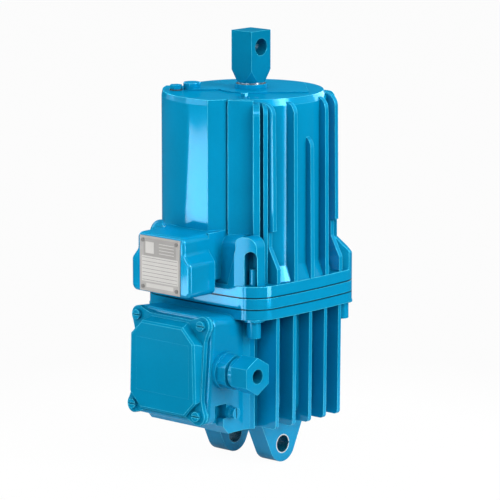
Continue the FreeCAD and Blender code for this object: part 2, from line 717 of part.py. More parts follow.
def stator_core():
    core = ring(MOTOR_BORE_RADIUS - SEAT, STATOR_BORE_RADIUS, STATOR_SEAT_Z, STATOR_TOP_Z)
    half = SLOT_WIDTH / 2
    slot = block(STATOR_BORE_RADIUS - AIR_GAP, STATOR_BORE_RADIUS + SLOT_DEPTH, -half, half,
                 STATOR_SEAT_Z, STATOR_TOP_Z)
    return without(core, [turned(slot, FULL_TURN / STATOR_SLOTS * i) for i in range(STATOR_SLOTS)])


def stator_windings():
    """End turns below and above the core."""
    heads = []
    inner = COIL_INNER_RADIUS
    outer = COIL_OUTER_RADIUS
    cut = COIL_CORNER
    for low in (STATOR_SEAT_Z - COIL_HEIGHT, STATOR_TOP_Z):
        high = low + COIL_HEIGHT
        heads.append(turned_profile([
            (inner + cut, low, 0), (outer - cut, low, 0), (outer, low + cut, 0), (outer, high - cut, 0),
            (outer - cut, high, 0), (inner + cut, high, 0), (inner, high - cut, 0), (inner, low + cut, 0)]))
    return Part.makeCompound(heads)


def bearing_outer(z0):
    """Outer race with a thin shield at each face."""
    z1 = z0 + BEARING_WIDTH
    bore = BEARING_INNER_RADIUS + FREE
    body = ring(BEARING_RADIUS - SEAT, bore, z0, z1)
    return body.cut(ring(BEARING_RACE_RADIUS, bore, z0 + BEARING_SHIELD, z1 - BEARING_SHIELD))


def bearing_inner(z0):
    return ring(BEARING_INNER_RADIUS, JOURNAL_RADIUS + SEAT, z0, z0 + BEARING_WIDTH)


def o_ring_groove(radius, z0, z1):
    half = O_RING_CORD / 2 + FREE
    return ring(radius + half, radius - half, z0, z1)


def bearing_plate():
    plate = flange_plate(MOTOR_JOINT_Z, HOUSING_JOINT_Z)
    rim = edges_on(plate, "Z", MOTOR_JOINT_Z) + edges_on(plate, "Z", HOUSING_JOINT_Z)
    plate = plate.makeChamfer(PLATE_JOINT_BEVEL, rim)
    spigot = disc(MOTOR_BORE_RADIUS - FREE, MOTOR_JOINT_Z - O_RING_CORD, MOTOR_JOINT_Z)
    hub = disc(BEARING_HUB_RADIUS, UPPER_BEARING_Z, MOTOR_JOINT_Z)
    plate = fused([plate, spigot, hub])
    bearing_top = UPPER_BEARING_Z + BEARING_WIDTH
    tools = [disc(BEARING_RADIUS, UPPER_BEARING_Z, bearing_top),
             disc(BEARING_RELIEF_RADIUS, bearing_top, bearing_top + BEARING_RELIEF),
             disc(SHAFT_HOLE_RADIUS, bearing_top, HOUSING_JOINT_Z),
             disc(SEAL_RADIUS, HOUSING_JOINT_Z - SEAL_HEIGHT, HOUSING_JOINT_Z),
             o_ring_groove(MOTOR_O_RING_RADIUS, MOTOR_JOINT_Z, MOTOR_JOINT_Z + GROOVE_DEPTH),
             o_ring_groove(HOUSING_O_RING_RADIUS, HOUSING_JOINT_Z - GROOVE_DEPTH, HOUSING_JOINT_Z)]
    tools += [disc(BOLT_HOLE_RADIUS, MOTOR_JOINT_Z, HOUSING_JOINT_Z, x, y) for x, y in bolt_places()]
    return without(plate, tools)


def o_ring(radius, z):
    return Part.makeTorus(radius, GROOVE_DEPTH / 2, V(0, 0, z))


def shaft_seal():
    z0 = HOUSING_JOINT_Z - SEAL_HEIGHT
    shaft = JOURNAL_RADIUS + FREE
    lip = SEAL_RADIUS - BEARING_SHIELD
    body = ring(SEAL_RADIUS - SEAT, shaft, z0, HOUSING_JOINT_Z)
    return body.cut(ring(lip, shaft + BEARING_SHIELD, z0 + SEAL_HEIGHT / 2, HOUSING_JOINT_Z))


def rib(y, tip, top, waisted):
    """Rib that lies along X, with a rounded top corner and a little draft."""
    foot_z = FLANGE_TOP_Z
    root = CHAMBER_RADIUS * math.sqrt(1 - (y / CHAMBER_RADIUS) ** 2) + SEAT
    if waisted:
        waist_z = foot_z + RIB_WAIST_HEIGHT
        waist_top = waist_z + RIB_WAIST_LENGTH
        corners = [(root, foot_z, 0), (RIB_FOOT_TIP, foot_z, 0), (RIB_FOOT_TIP, foot_z + RIB_FOOT_HEIGHT, 0),
                   (RIB_WAIST, waist_z, 0), (RIB_WAIST, waist_top, 0),
                   (tip + RIB_DRAFT, waist_top + RIB_WAIST_RUN, 0),
                   (tip, top, RIB_TOP_ROUND), (root, top, 0)]
    else:
        corners = [(root, foot_z, 0), (tip + RIB_DRAFT, foot_z, 0), (tip, top, RIB_TOP_ROUND), (root, top, 0)]
    return slab(corners, on_xz(y - RIB_THICKNESS / 2), Y_AXIS * RIB_THICKNESS)


def side_ribs():
    """The five ribs of one side, pointing along +X."""
    top = HOUSING_TOP_Z - RIB_TOP_DROP
    ribs = [rib(0, RIB_CENTRE_TIP, HOUSING_TOP_Z - RIB_CENTRE_TOP_DROP, False)]
    for sign in (-1, 1):
        ribs.append(rib(sign * RIB_PITCH, RIB_INNER_TIP, top, False))
        ribs.append(rib(sign * 2 * RIB_PITCH, RIB_OUTER_TIP, top, True))
    return ribs


def corner_rib(azimuth, width):
    """Radial rib beside a corner of the flange."""
    top = HOUSING_TOP_Z - RIB_TOP_DROP
    corners = [(CHAMBER_RADIUS + SEAT, FLANGE_TOP_Z, 0), (CORNER_RIB_TIP + RIB_DRAFT, FLANGE_TOP_Z, 0),
               (CORNER_RIB_TIP, top, RIB_TOP_ROUND), (CHAMBER_RADIUS + SEAT, top, 0)]
    return at_azimuth(slab(corners, on_xz(-width / 2), Y_AXIS * width), azimuth)


def full_tower():
    """Tower over the bolt of the +X -Y corner, with a drafted front that rounds over into its top."""
    low = FLANGE_TOP_Z
    high = FLANGE_TOP_Z + TOWER_HEIGHT
    reach = FLANGE_CORNER_CENTRE * math.sqrt(2) + FLANGE_CORNER_RADIUS
    dome = turned_profile([(0, low, 0), (reach, low, 0), (reach, high, TOWER_ROUND), (0, high, 0)])
    foot = TOWER_INSET - FLANGE_HALF
    front = slab([(foot, low, 0), (foot + TOWER_DRAFT, high, TOWER_ROUND),
                  (TOWER_BACK_Y, high, 0), (TOWER_BACK_Y, low, 0)],
                 on_yz(TOWER_INNER_X), X_AXIS * (FLANGE_HALF - TOWER_INNER_X))
    return flange_plate(low, high).common(front).common(dome)


def open_tower():
    """Tower cut back to a flat face at the corner, with an arched recess round the end of its bolt."""
    low = FLANGE_TOP_Z
    high = FLANGE_TOP_Z + TOWER_HEIGHT
    edge = FLANGE_CORNER_CENTRE
    corners = [(edge - TOWER_GUSSET_WIDTH, low, 0), (edge, low + TOWER_GUSSET_HEIGHT, 0),
               (edge, high, TOWER_EDGE_ROUND), (TOWER_OUTER_X, high, TOWER_SHOULDER), (TOWER_OUTER_X, low, 0)]
    head = slab(corners, on_xz(-FLANGE_HALF), Y_AXIS * (FLANGE_HALF + TOWER_BACK_Y))
    face = block(0, TOWER_FACE, -FLANGE_HALF, FLANGE_HALF, low, high)
    head = head.common(flange_plate(low, high)).common(at_azimuth(face, TOWER_FACE_AZIMUTH))
    side = full_tower().common(block(TOWER_INNER_X, edge + SEAT, -FLANGE_HALF, TOWER_BACK_Y, low, high))
    tower = fused([side, head])
    half = WINDOW_WIDTH / 2
    spring = low + WINDOW_HEIGHT - half
    door = block(-WINDOW_DEPTH, WINDOW_REACH, -half - WINDOW_OFFSET, half - WINDOW_OFFSET, low, spring)
    arch = rod(half, V(-WINDOW_DEPTH, -WINDOW_OFFSET, spring), X_AXIS, WINDOW_DEPTH + WINDOW_REACH)
    window = at_azimuth(fused([door, arch]), TOWER_FACE_AZIMUTH)
    window.translate(V(BOLT_X, -BOLT_Y, 0))
    return tower.cut(window)


def back_tower():
    """Low tower over the bolt of the +X +Y corner, with a top that slopes down to the flange edge."""
    low = FLANGE_TOP_Z
    edge = FLANGE_CORNER_CENTRE * math.sqrt(2) + FLANGE_CORNER_RADIUS
    edge_top = low + BACK_TOWER_EDGE_HEIGHT
    corners = [(CHAMBER_RADIUS + SEAT, low, 0), (edge, low, 0), (edge, edge_top, 0),
               (CHAMBER_RADIUS + SEAT, edge_top + edge - CHAMBER_RADIUS, 0)]
    wedge = slab(corners, on_xz(-BACK_TOWER_WIDTH / 2), Y_AXIS * BACK_TOWER_WIDTH)
    return flange_plate(low, HOUSING_TOP_Z).common(at_azimuth(wedge, BACK_TOWER_AZIMUTH))


def rating_block():
    """Flared block that carries the rating plate, and the neck behind it."""
    half = BLOCK_WIDE_HALF
    top = BLOCK_TOP_HALF
    sides = [(half, BLOCK_LOW_Z, BLOCK_ROUND), (half, BLOCK_WIDE_TOP_Z, BLOCK_ROUND),
             (top, BLOCK_NARROW_LOW_Z, BLOCK_ROUND), (top, BLOCK_HIGH_Z, BLOCK_ROUND)]
    corners = sides + [(-a, b, r) for a, b, r in reversed(sides)]
    front = slab(corners, on_xz(-BLOCK_FACE), Y_AXIS * (BLOCK_FACE - BLOCK_BACK))
    front = front.makeFillet(BLOCK_EDGE_ROUND, edges_on(front, "Y", -BLOCK_FACE))
    neck = block(-top, top, -BLOCK_BACK, -CHAMBER_RADIUS - SEAT, BLOCK_NECK_LOW_Z, BLOCK_HIGH_Z)
    return [front, neck]


def jacket():
    """Smooth part-round wall over the oil reserve, with a steep bevel round its top and one flat flank."""
    profile = [(0, FLANGE_TOP_Z, 0), (JACKET_RADIUS, FLANGE_TOP_Z, 0),
               (JACKET_RADIUS, HOUSING_TOP_Z - JACKET_BEVEL_HEIGHT, 0),
               (JACKET_RADIUS - JACKET_BEVEL_WIDTH, HOUSING_TOP_Z, 0), (0, HOUSING_TOP_Z, 0)]
    wall = Part.Face(outline(profile, on_xz(0))).revolve(ORIGIN, Z_AXIS, JACKET_END - JACKET_START)
    near = polar(JACKET_RADIUS, JACKET_END)
    far = polar(JACKET_FLANK_RADIUS, JACKET_FLANK_END)
    flank = slab([(0, 0, 0), near + (0,), far + (0,)], on_xy(FLANGE_TOP_Z),
                 Z_AXIS * (HOUSING_TOP_Z - FLANGE_TOP_Z))
    return fused([at_azimuth(wall, JACKET_START), flank])


def jacket_hollow():
    margin = math.degrees(JACKET_WALL / BARREL_RADIUS)
    hollow = sector(JACKET_RADIUS - JACKET_WALL, JACKET_START + margin, JACKET_END - margin,
                    FLANGE_TOP_Z, HOUSING_TOP_Z - JACKET_TOP_WALL)
    return hollow.cut(disc(BARREL_RADIUS, FLANGE_TOP_Z, HOUSING_TOP_Z))


def upper_housing():
    barrel = turned_profile([
        (0, HOUSING_JOINT_Z, 0), (SKIRT_RADIUS, HOUSING_JOINT_Z, 0), (SKIRT_RADIUS, FLANGE_TOP_Z, 0),
        (BARREL_RADIUS, FLANGE_TOP_Z + SKIRT_HEIGHT, 0),
        (BARREL_RADIUS, HOUSING_TOP_Z - BARREL_BEVEL_HEIGHT, 0),
        (BARREL_RADIUS - BARREL_BEVEL_WIDTH, HOUSING_TOP_Z, 0), (0, HOUSING_TOP_Z, 0)])
    pieces = [barrel, flange_plate(HOUSING_JOINT_Z, FLANGE_TOP_Z), jacket()]
    pieces.append(sector(PANEL_RADIUS, PANEL_START, PANEL_END, FLANGE_TOP_Z, HOUSING_TOP_Z - PANEL_TOP_DROP))
    for side in (0, QUARTER_TURN):
        pieces += [turned(r, side) for r in side_ribs()]
    pieces += [turned(r, HALF_TURN) for r in side_ribs()[:4]]
    for azimuth, width in zip(CORNER_RIB_AZIMUTHS, CORNER_RIB_WIDTHS):
        pieces.append(corner_rib(azimuth, width))
        pieces.append(corner_rib(HALF_TURN - azimuth, width))
        pieces.append(corner_rib(HALF_TURN + azimuth, width))
    pieces += [open_tower(), flipped(full_tower()), back_tower(), flipped(back_tower())]
    pieces += rating_block()
    casting = fused(pieces)

    bush_low = COVER_TOP_Z - GUIDE_BUSH_LENGTH
    chamber = disc(CHAMBER_RADIUS, HOUSING_JOINT_Z, CHAMBER_TOP_Z)
    chamber = chamber.cut(disc(GUIDE_BOSS_DIAMETER / 2, STOP_Z, CHAMBER_TOP_Z))
    tools = [chamber, disc(PUMP_BORE_RADIUS, HOUSING_JOINT_Z, DIFFUSER_TOP_Z), jacket_hollow(),
             disc(ROD_DIAMETER / 2 + SCREW_HOLE, STOP_Z, HOUSING_TOP_Z),
             disc(GUIDE_BUSH_DIAMETER / 2 + SEAT, bush_low, HOUSING_TOP_Z)]
    for x, y in bolt_places():
        tools.append(disc(BOLT_DIAMETER / 2 + THREAD, HOUSING_JOINT_Z, BOLT_TOP_Z + THREAD, x, y))
    x, y = polar(FILLER_RADIUS, FILLER_AZIMUTH)
    filler_low = HOUSING_TOP_Z - JACKET_TOP_WALL
    tools.append(disc(FILLER_THREAD_DIAMETER / 2 + THREAD, filler_low, HOUSING_TOP_Z, x, y))
    for x, z in rivet_places():
        tools.append(rod(RIVET_DIAMETER / 2 + THREAD, V(x, -BLOCK_FACE, z), Y_AXIS, RIVET_DEPTH))
    return without(casting, tools)


def top_cover():
    """Raised cover with a broad arm towards +X +Y and a narrow tongue that ends in a round breather boss."""
    z0 = HOUSING_TOP_Z
    hub = disc(COVER_HUB_RADIUS, z0, COVER_TOP_Z)
    arm = block(0, COVER_ARM_REACH, -COVER_ARM_HALF_WIDTH, COVER_ARM_HALF_WIDTH, z0, COVER_TOP_Z)
    tongue = block(0, TONGUE_REACH, -TONGUE_HALF_WIDTH, TONGUE_HALF_WIDTH, z0, COVER_TOP_Z)
    boss_top = COVER_TOP_Z + BREATHER_RISE
    boss = disc(TONGUE_HALF_WIDTH, z0, boss_top, TONGUE_REACH, 0)
    boss = boss.makeFillet(BREATHER_ROUND, edges_on(boss, "Z", boss_top))
    spout = at_azimuth(fused([tongue, boss]), TONGUE_AZIMUTH)
    cover = fused([hub, at_azimuth(arm, COVER_ARM_AZIMUTH), spout])
    return cover.cut(disc(GUIDE_BUSH_DIAMETER / 2 + SEAT, z0, COVER_TOP_Z))


def rod_guide_bush():
    top = GUIDE_BUSH_TOP_Z
    bush = disc(GUIDE_BUSH_DIAMETER / 2, COVER_TOP_Z - GUIDE_BUSH_LENGTH, top)
    bore = disc(ROD_DIAMETER / 2 + RUNNING, COVER_TOP_Z - GUIDE_BUSH_LENGTH, top)
    return without(bush, [bore, disc(WIPER_DIAMETER / 2, top - WIPER_DEPTH, top)])


def rod_wiper_seal():
    top = GUIDE_BUSH_TOP_Z
    return ring(WIPER_DIAMETER / 2 - SEAT, ROD_DIAMETER / 2 + FREE, top - WIPER_DEPTH, top)


def filler_plug():
    x, y = polar(FILLER_RADIUS, FILLER_AZIMUTH)
    seat = HOUSING_TOP_Z + FILLER_SEAL_THICKNESS
    head = hexagon(FILLER_HEAD_ACROSS, V(x, y, seat), Z_AXIS, FILLER_HEAD_HEIGHT)
    thread = disc(FILLER_THREAD_DIAMETER / 2, seat - FILLER_THREAD_LENGTH, seat, x, y)
    return fused([head, thread])


def filler_seal():
    x, y = polar(FILLER_RADIUS, FILLER_AZIMUTH)
    top = HOUSING_TOP_Z + FILLER_SEAL_THICKNESS
    washer = disc(FILLER_SEAL_DIAMETER / 2, HOUSING_TOP_Z, top, x, y)
    return washer.cut(disc(FILLER_THREAD_DIAMETER / 2 + THREAD, HOUSING_TOP_Z, top, x, y))


def flange_bolts():
    bolts = []
    seat = MOTOR_FLANGE_Z - WASHER_THICKNESS
    low = seat - BOLT_HEAD_HEIGHT
    for x, y in bolt_places():
        head = disc(BOLT_HEAD_DIAMETER / 2, low, seat, x, y)
        shank = disc(BOLT_DIAMETER / 2, seat, BOLT_TOP_Z, x, y)
        socket = hexagon(BOLT_SOCKET_ACROSS, V(x, y, low), Z_AXIS, BOLT_SOCKET_DEPTH)
        bolts.append(fused([head, shank]).cut(socket))
    return Part.makeCompound(bolts)


def flange_washers():
    washers = []
    low = MOTOR_FLANGE_Z - WASHER_THICKNESS
    for x, y in bolt_places():
        washer = disc(WASHER_DIAMETER / 2, low, MOTOR_FLANGE_Z, x, y)
        washers.append(washer.cut(disc(BOLT_HOLE_RADIUS, low, MOTOR_FLANGE_Z, x, y)))
    return Part.makeCompound(washers)


def lid_opening():
    """Clear space through the lid's back and its gasket."""
    return panel_slab(LID_WALL, LID_PANEL_CORNER, -LID_FRONT + LID_WALL, LID_FRONT - BOX_BACK)


def lid_screw_holes(y, depth):
    radius = LID_SCREW_DIAMETER / 2 + SCREW_HOLE
    holes = [rod(radius, V(x, y, z), Y_AXIS, depth) for x, z in lid_screw_places()]
    return [tilted(hole) for hole in holes]


def lid_gasket():
    sheet = tilted(rim_slab(-LID_BASE, GASKET_THICKNESS))
    return without(sheet, [lid_opening()] + lid_screw_holes(-LID_BASE, GASKET_THICKNESS))


def lid_panel():
    """Upright front of the lid: sides that slope out towards the rim, and corners cut off for the screws."""
    front_y = -LID_FRONT
    back_y = LID_SIDE_DEPTH - LID_FRONT
    wires = []
    for y, run in ((front_y, 0), (back_y, LID_SIDE_RUN)):
        low = LID_PANEL_LOW_Z - run
        high = LID_PANEL_HIGH_Z + run
        low_half = LID_PANEL_LOW_HALF + run
        high_half = LID_PANEL_HIGH_HALF + run
        corners = [(-low_half, low, 0), (low_half, low, 0), (high_half, high, 0), (-high_half, high, 0)]
        wires.append(outline(corners, on_xz(y)))
    body = Part.makeLoft(wires, True, True)
    sides = panel_slab(-LID_SIDE_RUN, LID_PANEL_CORNER + 2 * LID_SIDE_RUN, front_y, LID_SIDE_DEPTH)
    panel = body.common(sides)
    return panel.makeChamfer(LID_PANEL_BEVEL, edges_on(panel, "Y", front_y))


def terminal_lid():
    plate = tilted(rim_slab(-LID_FACE, LID_PLATE_THICKNESS))
    behind = tilted(block(-BOX_FACE, BOX_FACE, -LID_BASE, 0, -BOX_FACE, BOX_FACE + BOX_HIGH_Z))
    lid = fused([plate, lid_panel().cut(behind)])
    return without(lid, [lid_opening()] + lid_screw_holes(-LID_FACE, LID_PLATE_THICKNESS))


def slotted_screw(diameter, length, head_diameter, head_height, seat, direction):
    """Cheese-head screw without its slot: the head stands out of the seat, the shank goes into it."""
    head = rod(head_diameter / 2, seat, direction, head_height)
    shank = rod(diameter / 2, seat, direction * -1, length)
    return fused([head, shank])


def lid_screws():
    screws = []
    length = LID_PLATE_THICKNESS + GASKET_THICKNESS + LID_SCREW_LENGTH
    reach = LID_SCREW_HEAD_DIAMETER
    half = LID_SLOT_WIDTH / 2
    top = -LID_FACE - LID_SCREW_HEAD_HEIGHT
    for x, z in lid_screw_places():
        screw = slotted_screw(LID_SCREW_DIAMETER, length, LID_SCREW_HEAD_DIAMETER, LID_SCREW_HEAD_HEIGHT,
                              V(x, -LID_FACE, z), Y_AXIS * -1)
        slot = block(x - reach, x + reach, top, top + LID_SLOT_DEPTH, z - half, z + half)
        screws.append(tilted(screw.cut(slot)))
    return Part.makeCompound(screws)


def terminal_board():
    board = block(-BOARD_HALF_WIDTH, BOARD_HALF_WIDTH, -BOX_BACK - BOARD_THICKNESS, -BOX_BACK,
                  BOARD_LOW_Z, BOARD_HIGH_Z)
    holes = [rod(STUD_DIAMETER / 2 + SEAT, V(x, -BOX_BACK - BOARD_THICKNESS, z), Y_AXIS, BOARD_THICKNESS)
             for x, z in stud_places()]
    return tilted(without(board, holes))


def stud_places():
    middle = (BOARD_LOW_Z + BOARD_HIGH_Z) / 2
    rows = (middle - STUD_PITCH_Z / 2, middle + STUD_PITCH_Z / 2)
    return [(x, z) for x in (-STUD_PITCH_X, 0, STUD_PITCH_X) for z in rows]


def terminal_studs():
    face = -BOX_BACK - BOARD_THICKNESS
    studs = []
    for x, z in stud_places():
        stud = rod(STUD_DIAMETER / 2, V(x, -BOX_BACK - STUD_LENGTH, z), Y_AXIS, STUD_LENGTH)
        nut = hexagon(STUD_NUT_ACROSS, V(x, face - STUD_NUT_HEIGHT, z), Y_AXIS, STUD_NUT_HEIGHT)
        studs.append(tilted(fused([stud, nut])))
    return Part.makeCompound(studs)


def gland_at(x):
    return V(x, GLAND_Y, GLAND_Z)


def gland_body():
    wall = BOX_HALF_WIDTH
    hex_start = wall + GLAND_COLLAR_LENGTH
    neck_start = hex_start + GLAND_HEX_LENGTH
    grip = hexagon(GLAND_HEX_ACROSS, gland_at(hex_start), X_AXIS, GLAND_HEX_LENGTH)
    grip = grip.common(rod(GLAND_HEX_CORNER / 2, gland_at(hex_start), X_AXIS, GLAND_HEX_LENGTH))
    body = fused([rod(GLAND_THREAD_DIAMETER / 2, gland_at(wall - BOX_WALL), X_AXIS, BOX_WALL),
                  rod(GLAND_COLLAR_DIAMETER / 2, gland_at(wall), X_AXIS, GLAND_COLLAR_LENGTH),
                  grip,
                  rod(GLAND_NECK_DIAMETER / 2, gland_at(neck_start), X_AXIS, GLAND_NECK_LENGTH)])
    length = BOX_WALL + GLAND_COLLAR_LENGTH + GLAND_HEX_LENGTH + GLAND_NECK_LENGTH
    return body.cut(rod(GLAND_BORE / 2, gland_at(wall - BOX_WALL), X_AXIS, length))


def gland_nut():
    start = BOX_HALF_WIDTH + GLAND_COLLAR_LENGTH + GLAND_HEX_LENGTH + GLAND_NUT_GAP
    skirt = rod(GLAND_NUT_SKIRT_DIAMETER / 2, gland_at(start), X_AXIS, GLAND_NUT_SKIRT_LENGTH)
    grip = hexagon(GLAND_NUT_ACROSS, gland_at(start + GLAND_NUT_SKIRT_LENGTH), X_AXIS,
                   GLAND_NUT_LENGTH - GLAND_NUT_SKIRT_LENGTH)
    nut = fused([skirt, grip])
    thread_length = GLAND_NECK_LENGTH - GLAND_NUT_GAP
    return without(nut, [rod(GLAND_NECK_DIAMETER / 2 + THREAD, gland_at(start), X_AXIS, thread_length),
                         rod(GLAND_CABLE_HOLE / 2, gland_at(start), X_AXIS, GLAND_NUT_LENGTH)])


def gland_seal():
    end = BOX_HALF_WIDTH + GLAND_COLLAR_LENGTH + GLAND_HEX_LENGTH + GLAND_NECK_LENGTH
    start = gland_at(end - GLAND_SEAL_LENGTH)
    sleeve = rod(GLAND_BORE / 2 - SEAT, start, X_AXIS, GLAND_SEAL_LENGTH)
    return sleeve.cut(rod(GLAND_CABLE_HOLE / 2, start, X_AXIS, GLAND_SEAL_LENGTH))


def earth_seat():
    return V(BOX_HALF_WIDTH + EARTH_BOSS_LENGTH, EARTH_Y, EARTH_Z)


def earth_screw():
    seat = earth_seat() + X_AXIS * EARTH_WASHER_THICKNESS
    top = seat.x + EARTH_HEAD_HEIGHT
    screw = slotted_screw(EARTH_SCREW_DIAMETER, EARTH_SCREW_LENGTH, EARTH_HEAD_DIAMETER, EARTH_HEAD_HEIGHT,
                          seat, X_AXIS)
    half = LID_SLOT_WIDTH / 2
    return screw.cut(block(top - LID_SLOT_DEPTH, top, EARTH_Y - half, EARTH_Y + half,
                           EARTH_Z - EARTH_HEAD_DIAMETER, EARTH_Z + EARTH_HEAD_DIAMETER))


def earth_washer():
    start = earth_seat()
    washer = rod(EARTH_WASHER_DIAMETER / 2, start, X_AXIS, EARTH_WASHER_THICKNESS)
    return washer.cut(rod(EARTH_SCREW_DIAMETER / 2 + THREAD, start, X_AXIS, EARTH_WASHER_THICKNESS))


def rivet_places():
    reach = PLATE_WIDTH / 2 - RIVET_INSET
    low = PLATE_LOW_Z + RIVET_INSET
    high = PLATE_LOW_Z + PLATE_HEIGHT - RIVET_INSET
    return [(x, z) for x in (-reach, reach) for z in (low, high)]


def nameplate():
    plate = block(-PLATE_WIDTH / 2, PLATE_WIDTH / 2, -BLOCK_FACE - PLATE_THICKNESS, -BLOCK_FACE,
                  PLATE_LOW_Z, PLATE_LOW_Z + PLATE_HEIGHT)
    holes = [rod(RIVET_DIAMETER / 2 + THREAD, V(x, -BLOCK_FACE - PLATE_THICKNESS, z), Y_AXIS, PLATE_THICKNESS)
             for x, z in rivet_places()]
    return without(plate, holes)


def nameplate_rivets():
    face = -BLOCK_FACE - PLATE_THICKNESS
    rivets = []
    for x, z in rivet_places():
        head = rod(RIVET_HEAD_DIAMETER / 2, V(x, face - RIVET_HEAD_HEIGHT, z), Y_AXIS, RIVET_HEAD_HEIGHT)
        shank = rod(RIVET_DIAMETER / 2, V(x, face, z), Y_AXIS, PLATE_THICKNESS + RIVET_DEPTH)
        rivets.append(fused([head, shank]))
    return Part.makeCompound(rivets)


def diffuser_plate():
    z0 = DIFFUSER_TOP_Z - DIFFUSER_THICKNESS
    plate = disc(PUMP_BORE_RADIUS - SEAT, z0, DIFFUSER_TOP_Z)
    ports = [disc(DIFFUSER_EYE_RADIUS, z0, DIFFUSER_TOP_Z)]
    for i in range(DIFFUSER_PORT_COUNT):
        x, y = polar(DIFFUSER_PORT_CIRCLE, FULL_TURN / DIFFUSER_PORT_COUNT * i)
        ports.append(disc(DIFFUSER_PORT_RADIUS, z0, DIFFUSER_TOP_Z, x, y))
    return without(plate, ports)


def cylinder_sleeve():
    bore = SLEEVE_BORE / 2
    sleeve = ring(bore + SLEEVE_WALL, bore, DIFFUSER_TOP_Z, CHAMBER_TOP_Z)
    port_z = CHAMBER_TOP_Z - SLEEVE_PORT_DROP
    port = rod(SLEEVE_PORT_DIAMETER / 2, V(0, 0, port_z), X_AXIS, bore + SLEEVE_WALL)
    step = FULL_TURN / SLEEVE_PORT_COUNT
    return without(sleeve, [turned(port, step * i) for i in range(SLEEVE_PORT_COUNT)])


def piston():
    """Piston with a dished top, a ring groove and a nut pocket below."""
    radius = SLEEVE_BORE / 2 - FREE
    body = disc(radius, PISTON_Z, PISTON_TOP_Z)
    dish = ring(PISTON_DISH_RADIUS, PISTON_HUB_RADIUS, PISTON_TOP_Z - PISTON_DISH_DEPTH, PISTON_TOP_Z)
    groove_top = PISTON_TOP_Z - PISTON_RING_DROP
    groove = ring(radius, radius - PISTON_RING_DEPTH - FREE, groove_top - PISTON_RING_HEIGHT, groove_top)
    pocket = disc(PISTON_NUT_POCKET_RADIUS, PISTON_Z, PISTON_Z + PISTON_NUT_HEIGHT)
    return without(body, [dish, groove, pocket, disc(ROD_SPIGOT_DIAMETER / 2 + SEAT, PISTON_Z, PISTON_TOP_Z)])


def piston_ring():
    radius = SLEEVE_BORE / 2 - RING_RUNNING
    top = PISTON_TOP_Z - PISTON_RING_DROP
    body = ring(radius, radius - PISTON_RING_DEPTH, top - PISTON_RING_HEIGHT, top)
    gap = block(0, radius, -PISTON_RING_GAP / 2, PISTON_RING_GAP / 2, top - PISTON_RING_HEIGHT, top)
    return body.cut(gap)


def piston_nut():
    nut = hexagon(PISTON_NUT_ACROSS, V(0, 0, PISTON_Z), Z_AXIS, PISTON_NUT_HEIGHT)
    return nut.cut(disc(ROD_SPIGOT_DIAMETER / 2 + SEAT, PISTON_Z, PISTON_Z + PISTON_NUT_HEIGHT))


def piston_rod():
    spigot = ROD_SPIGOT_DIAMETER / 2
    return fused([disc(spigot, PISTON_Z, PISTON_TOP_Z), disc(ROD_DIAMETER / 2, PISTON_TOP_Z, EYE_LOW_Z),
                  disc(spigot, EYE_LOW_Z, EYE_LOW_Z + ROD_EYE_ENGAGEMENT)])


def pressure_lug():
    """Square eye turned down to a cone where it meets the rod."""
    eye = block(-EYE_THICKNESS / 2, EYE_THICKNESS / 2, -EYE_DEPTH / 2, EYE_DEPTH / 2, EYE_LOW_Z, EYE_TOP_Z)
    corner = math.hypot(EYE_THICKNESS, EYE_DEPTH) / 2
    cone = turned_profile([(0, EYE_LOW_Z, 0), (EYE_NECK_RADIUS, EYE_LOW_Z, 0), (corner, EYE_SQUARE_Z, 0),
                           (corner, EYE_TOP_Z, 0), (0, EYE_TOP_Z, 0)])
    pin = rod(PIN_BORE / 2, V(-EYE_THICKNESS / 2, 0, PIN_DISTANCE), X_AXIS, EYE_THICKNESS)
    socket = disc(ROD_SPIGOT_DIAMETER / 2 + SEAT, EYE_LOW_Z, EYE_LOW_Z + ROD_EYE_ENGAGEMENT)
    return without(eye.common(cone), [pin, socket])


def motor_shaft():
    upper_top = UPPER_BEARING_Z + BEARING_WIDTH
    low_shoulder = FLOOR_Z + BEARING_WIDTH
    nose_z = IMPELLER_Z
    top = BLADE_TOP_Z + IMPELLER_NUT_HEIGHT
    return turned_profile([
        (0, FLOOR_Z, 0), (JOURNAL_RADIUS, FLOOR_Z, 0), (JOURNAL_RADIUS, low_shoulder, 0),
        (SHAFT_RADIUS, low_shoulder, 0), (SHAFT_RADIUS, UPPER_BEARING_Z, 0),
        (JOURNAL_RADIUS, UPPER_BEARING_Z, 0), (JOURNAL_RADIUS, nose_z, 0),
        (SHAFT_NOSE_RADIUS, nose_z, 0), (SHAFT_NOSE_RADIUS, top, 0), (0, top, 0)])


def rotor_core():
    return ring(STATOR_BORE_RADIUS - AIR_GAP, SHAFT_RADIUS + SEAT, STATOR_SEAT_Z, STATOR_TOP_Z)


def rotor_end_rings():
    return Part.makeCompound([
        ring(END_RING_OUTER_RADIUS, END_RING_INNER_RADIUS, STATOR_SEAT_Z - END_RING_HEIGHT, STATOR_SEAT_Z),
        ring(END_RING_OUTER_RADIUS, END_RING_INNER_RADIUS, STATOR_TOP_Z, STATOR_TOP_Z + END_RING_HEIGHT)])


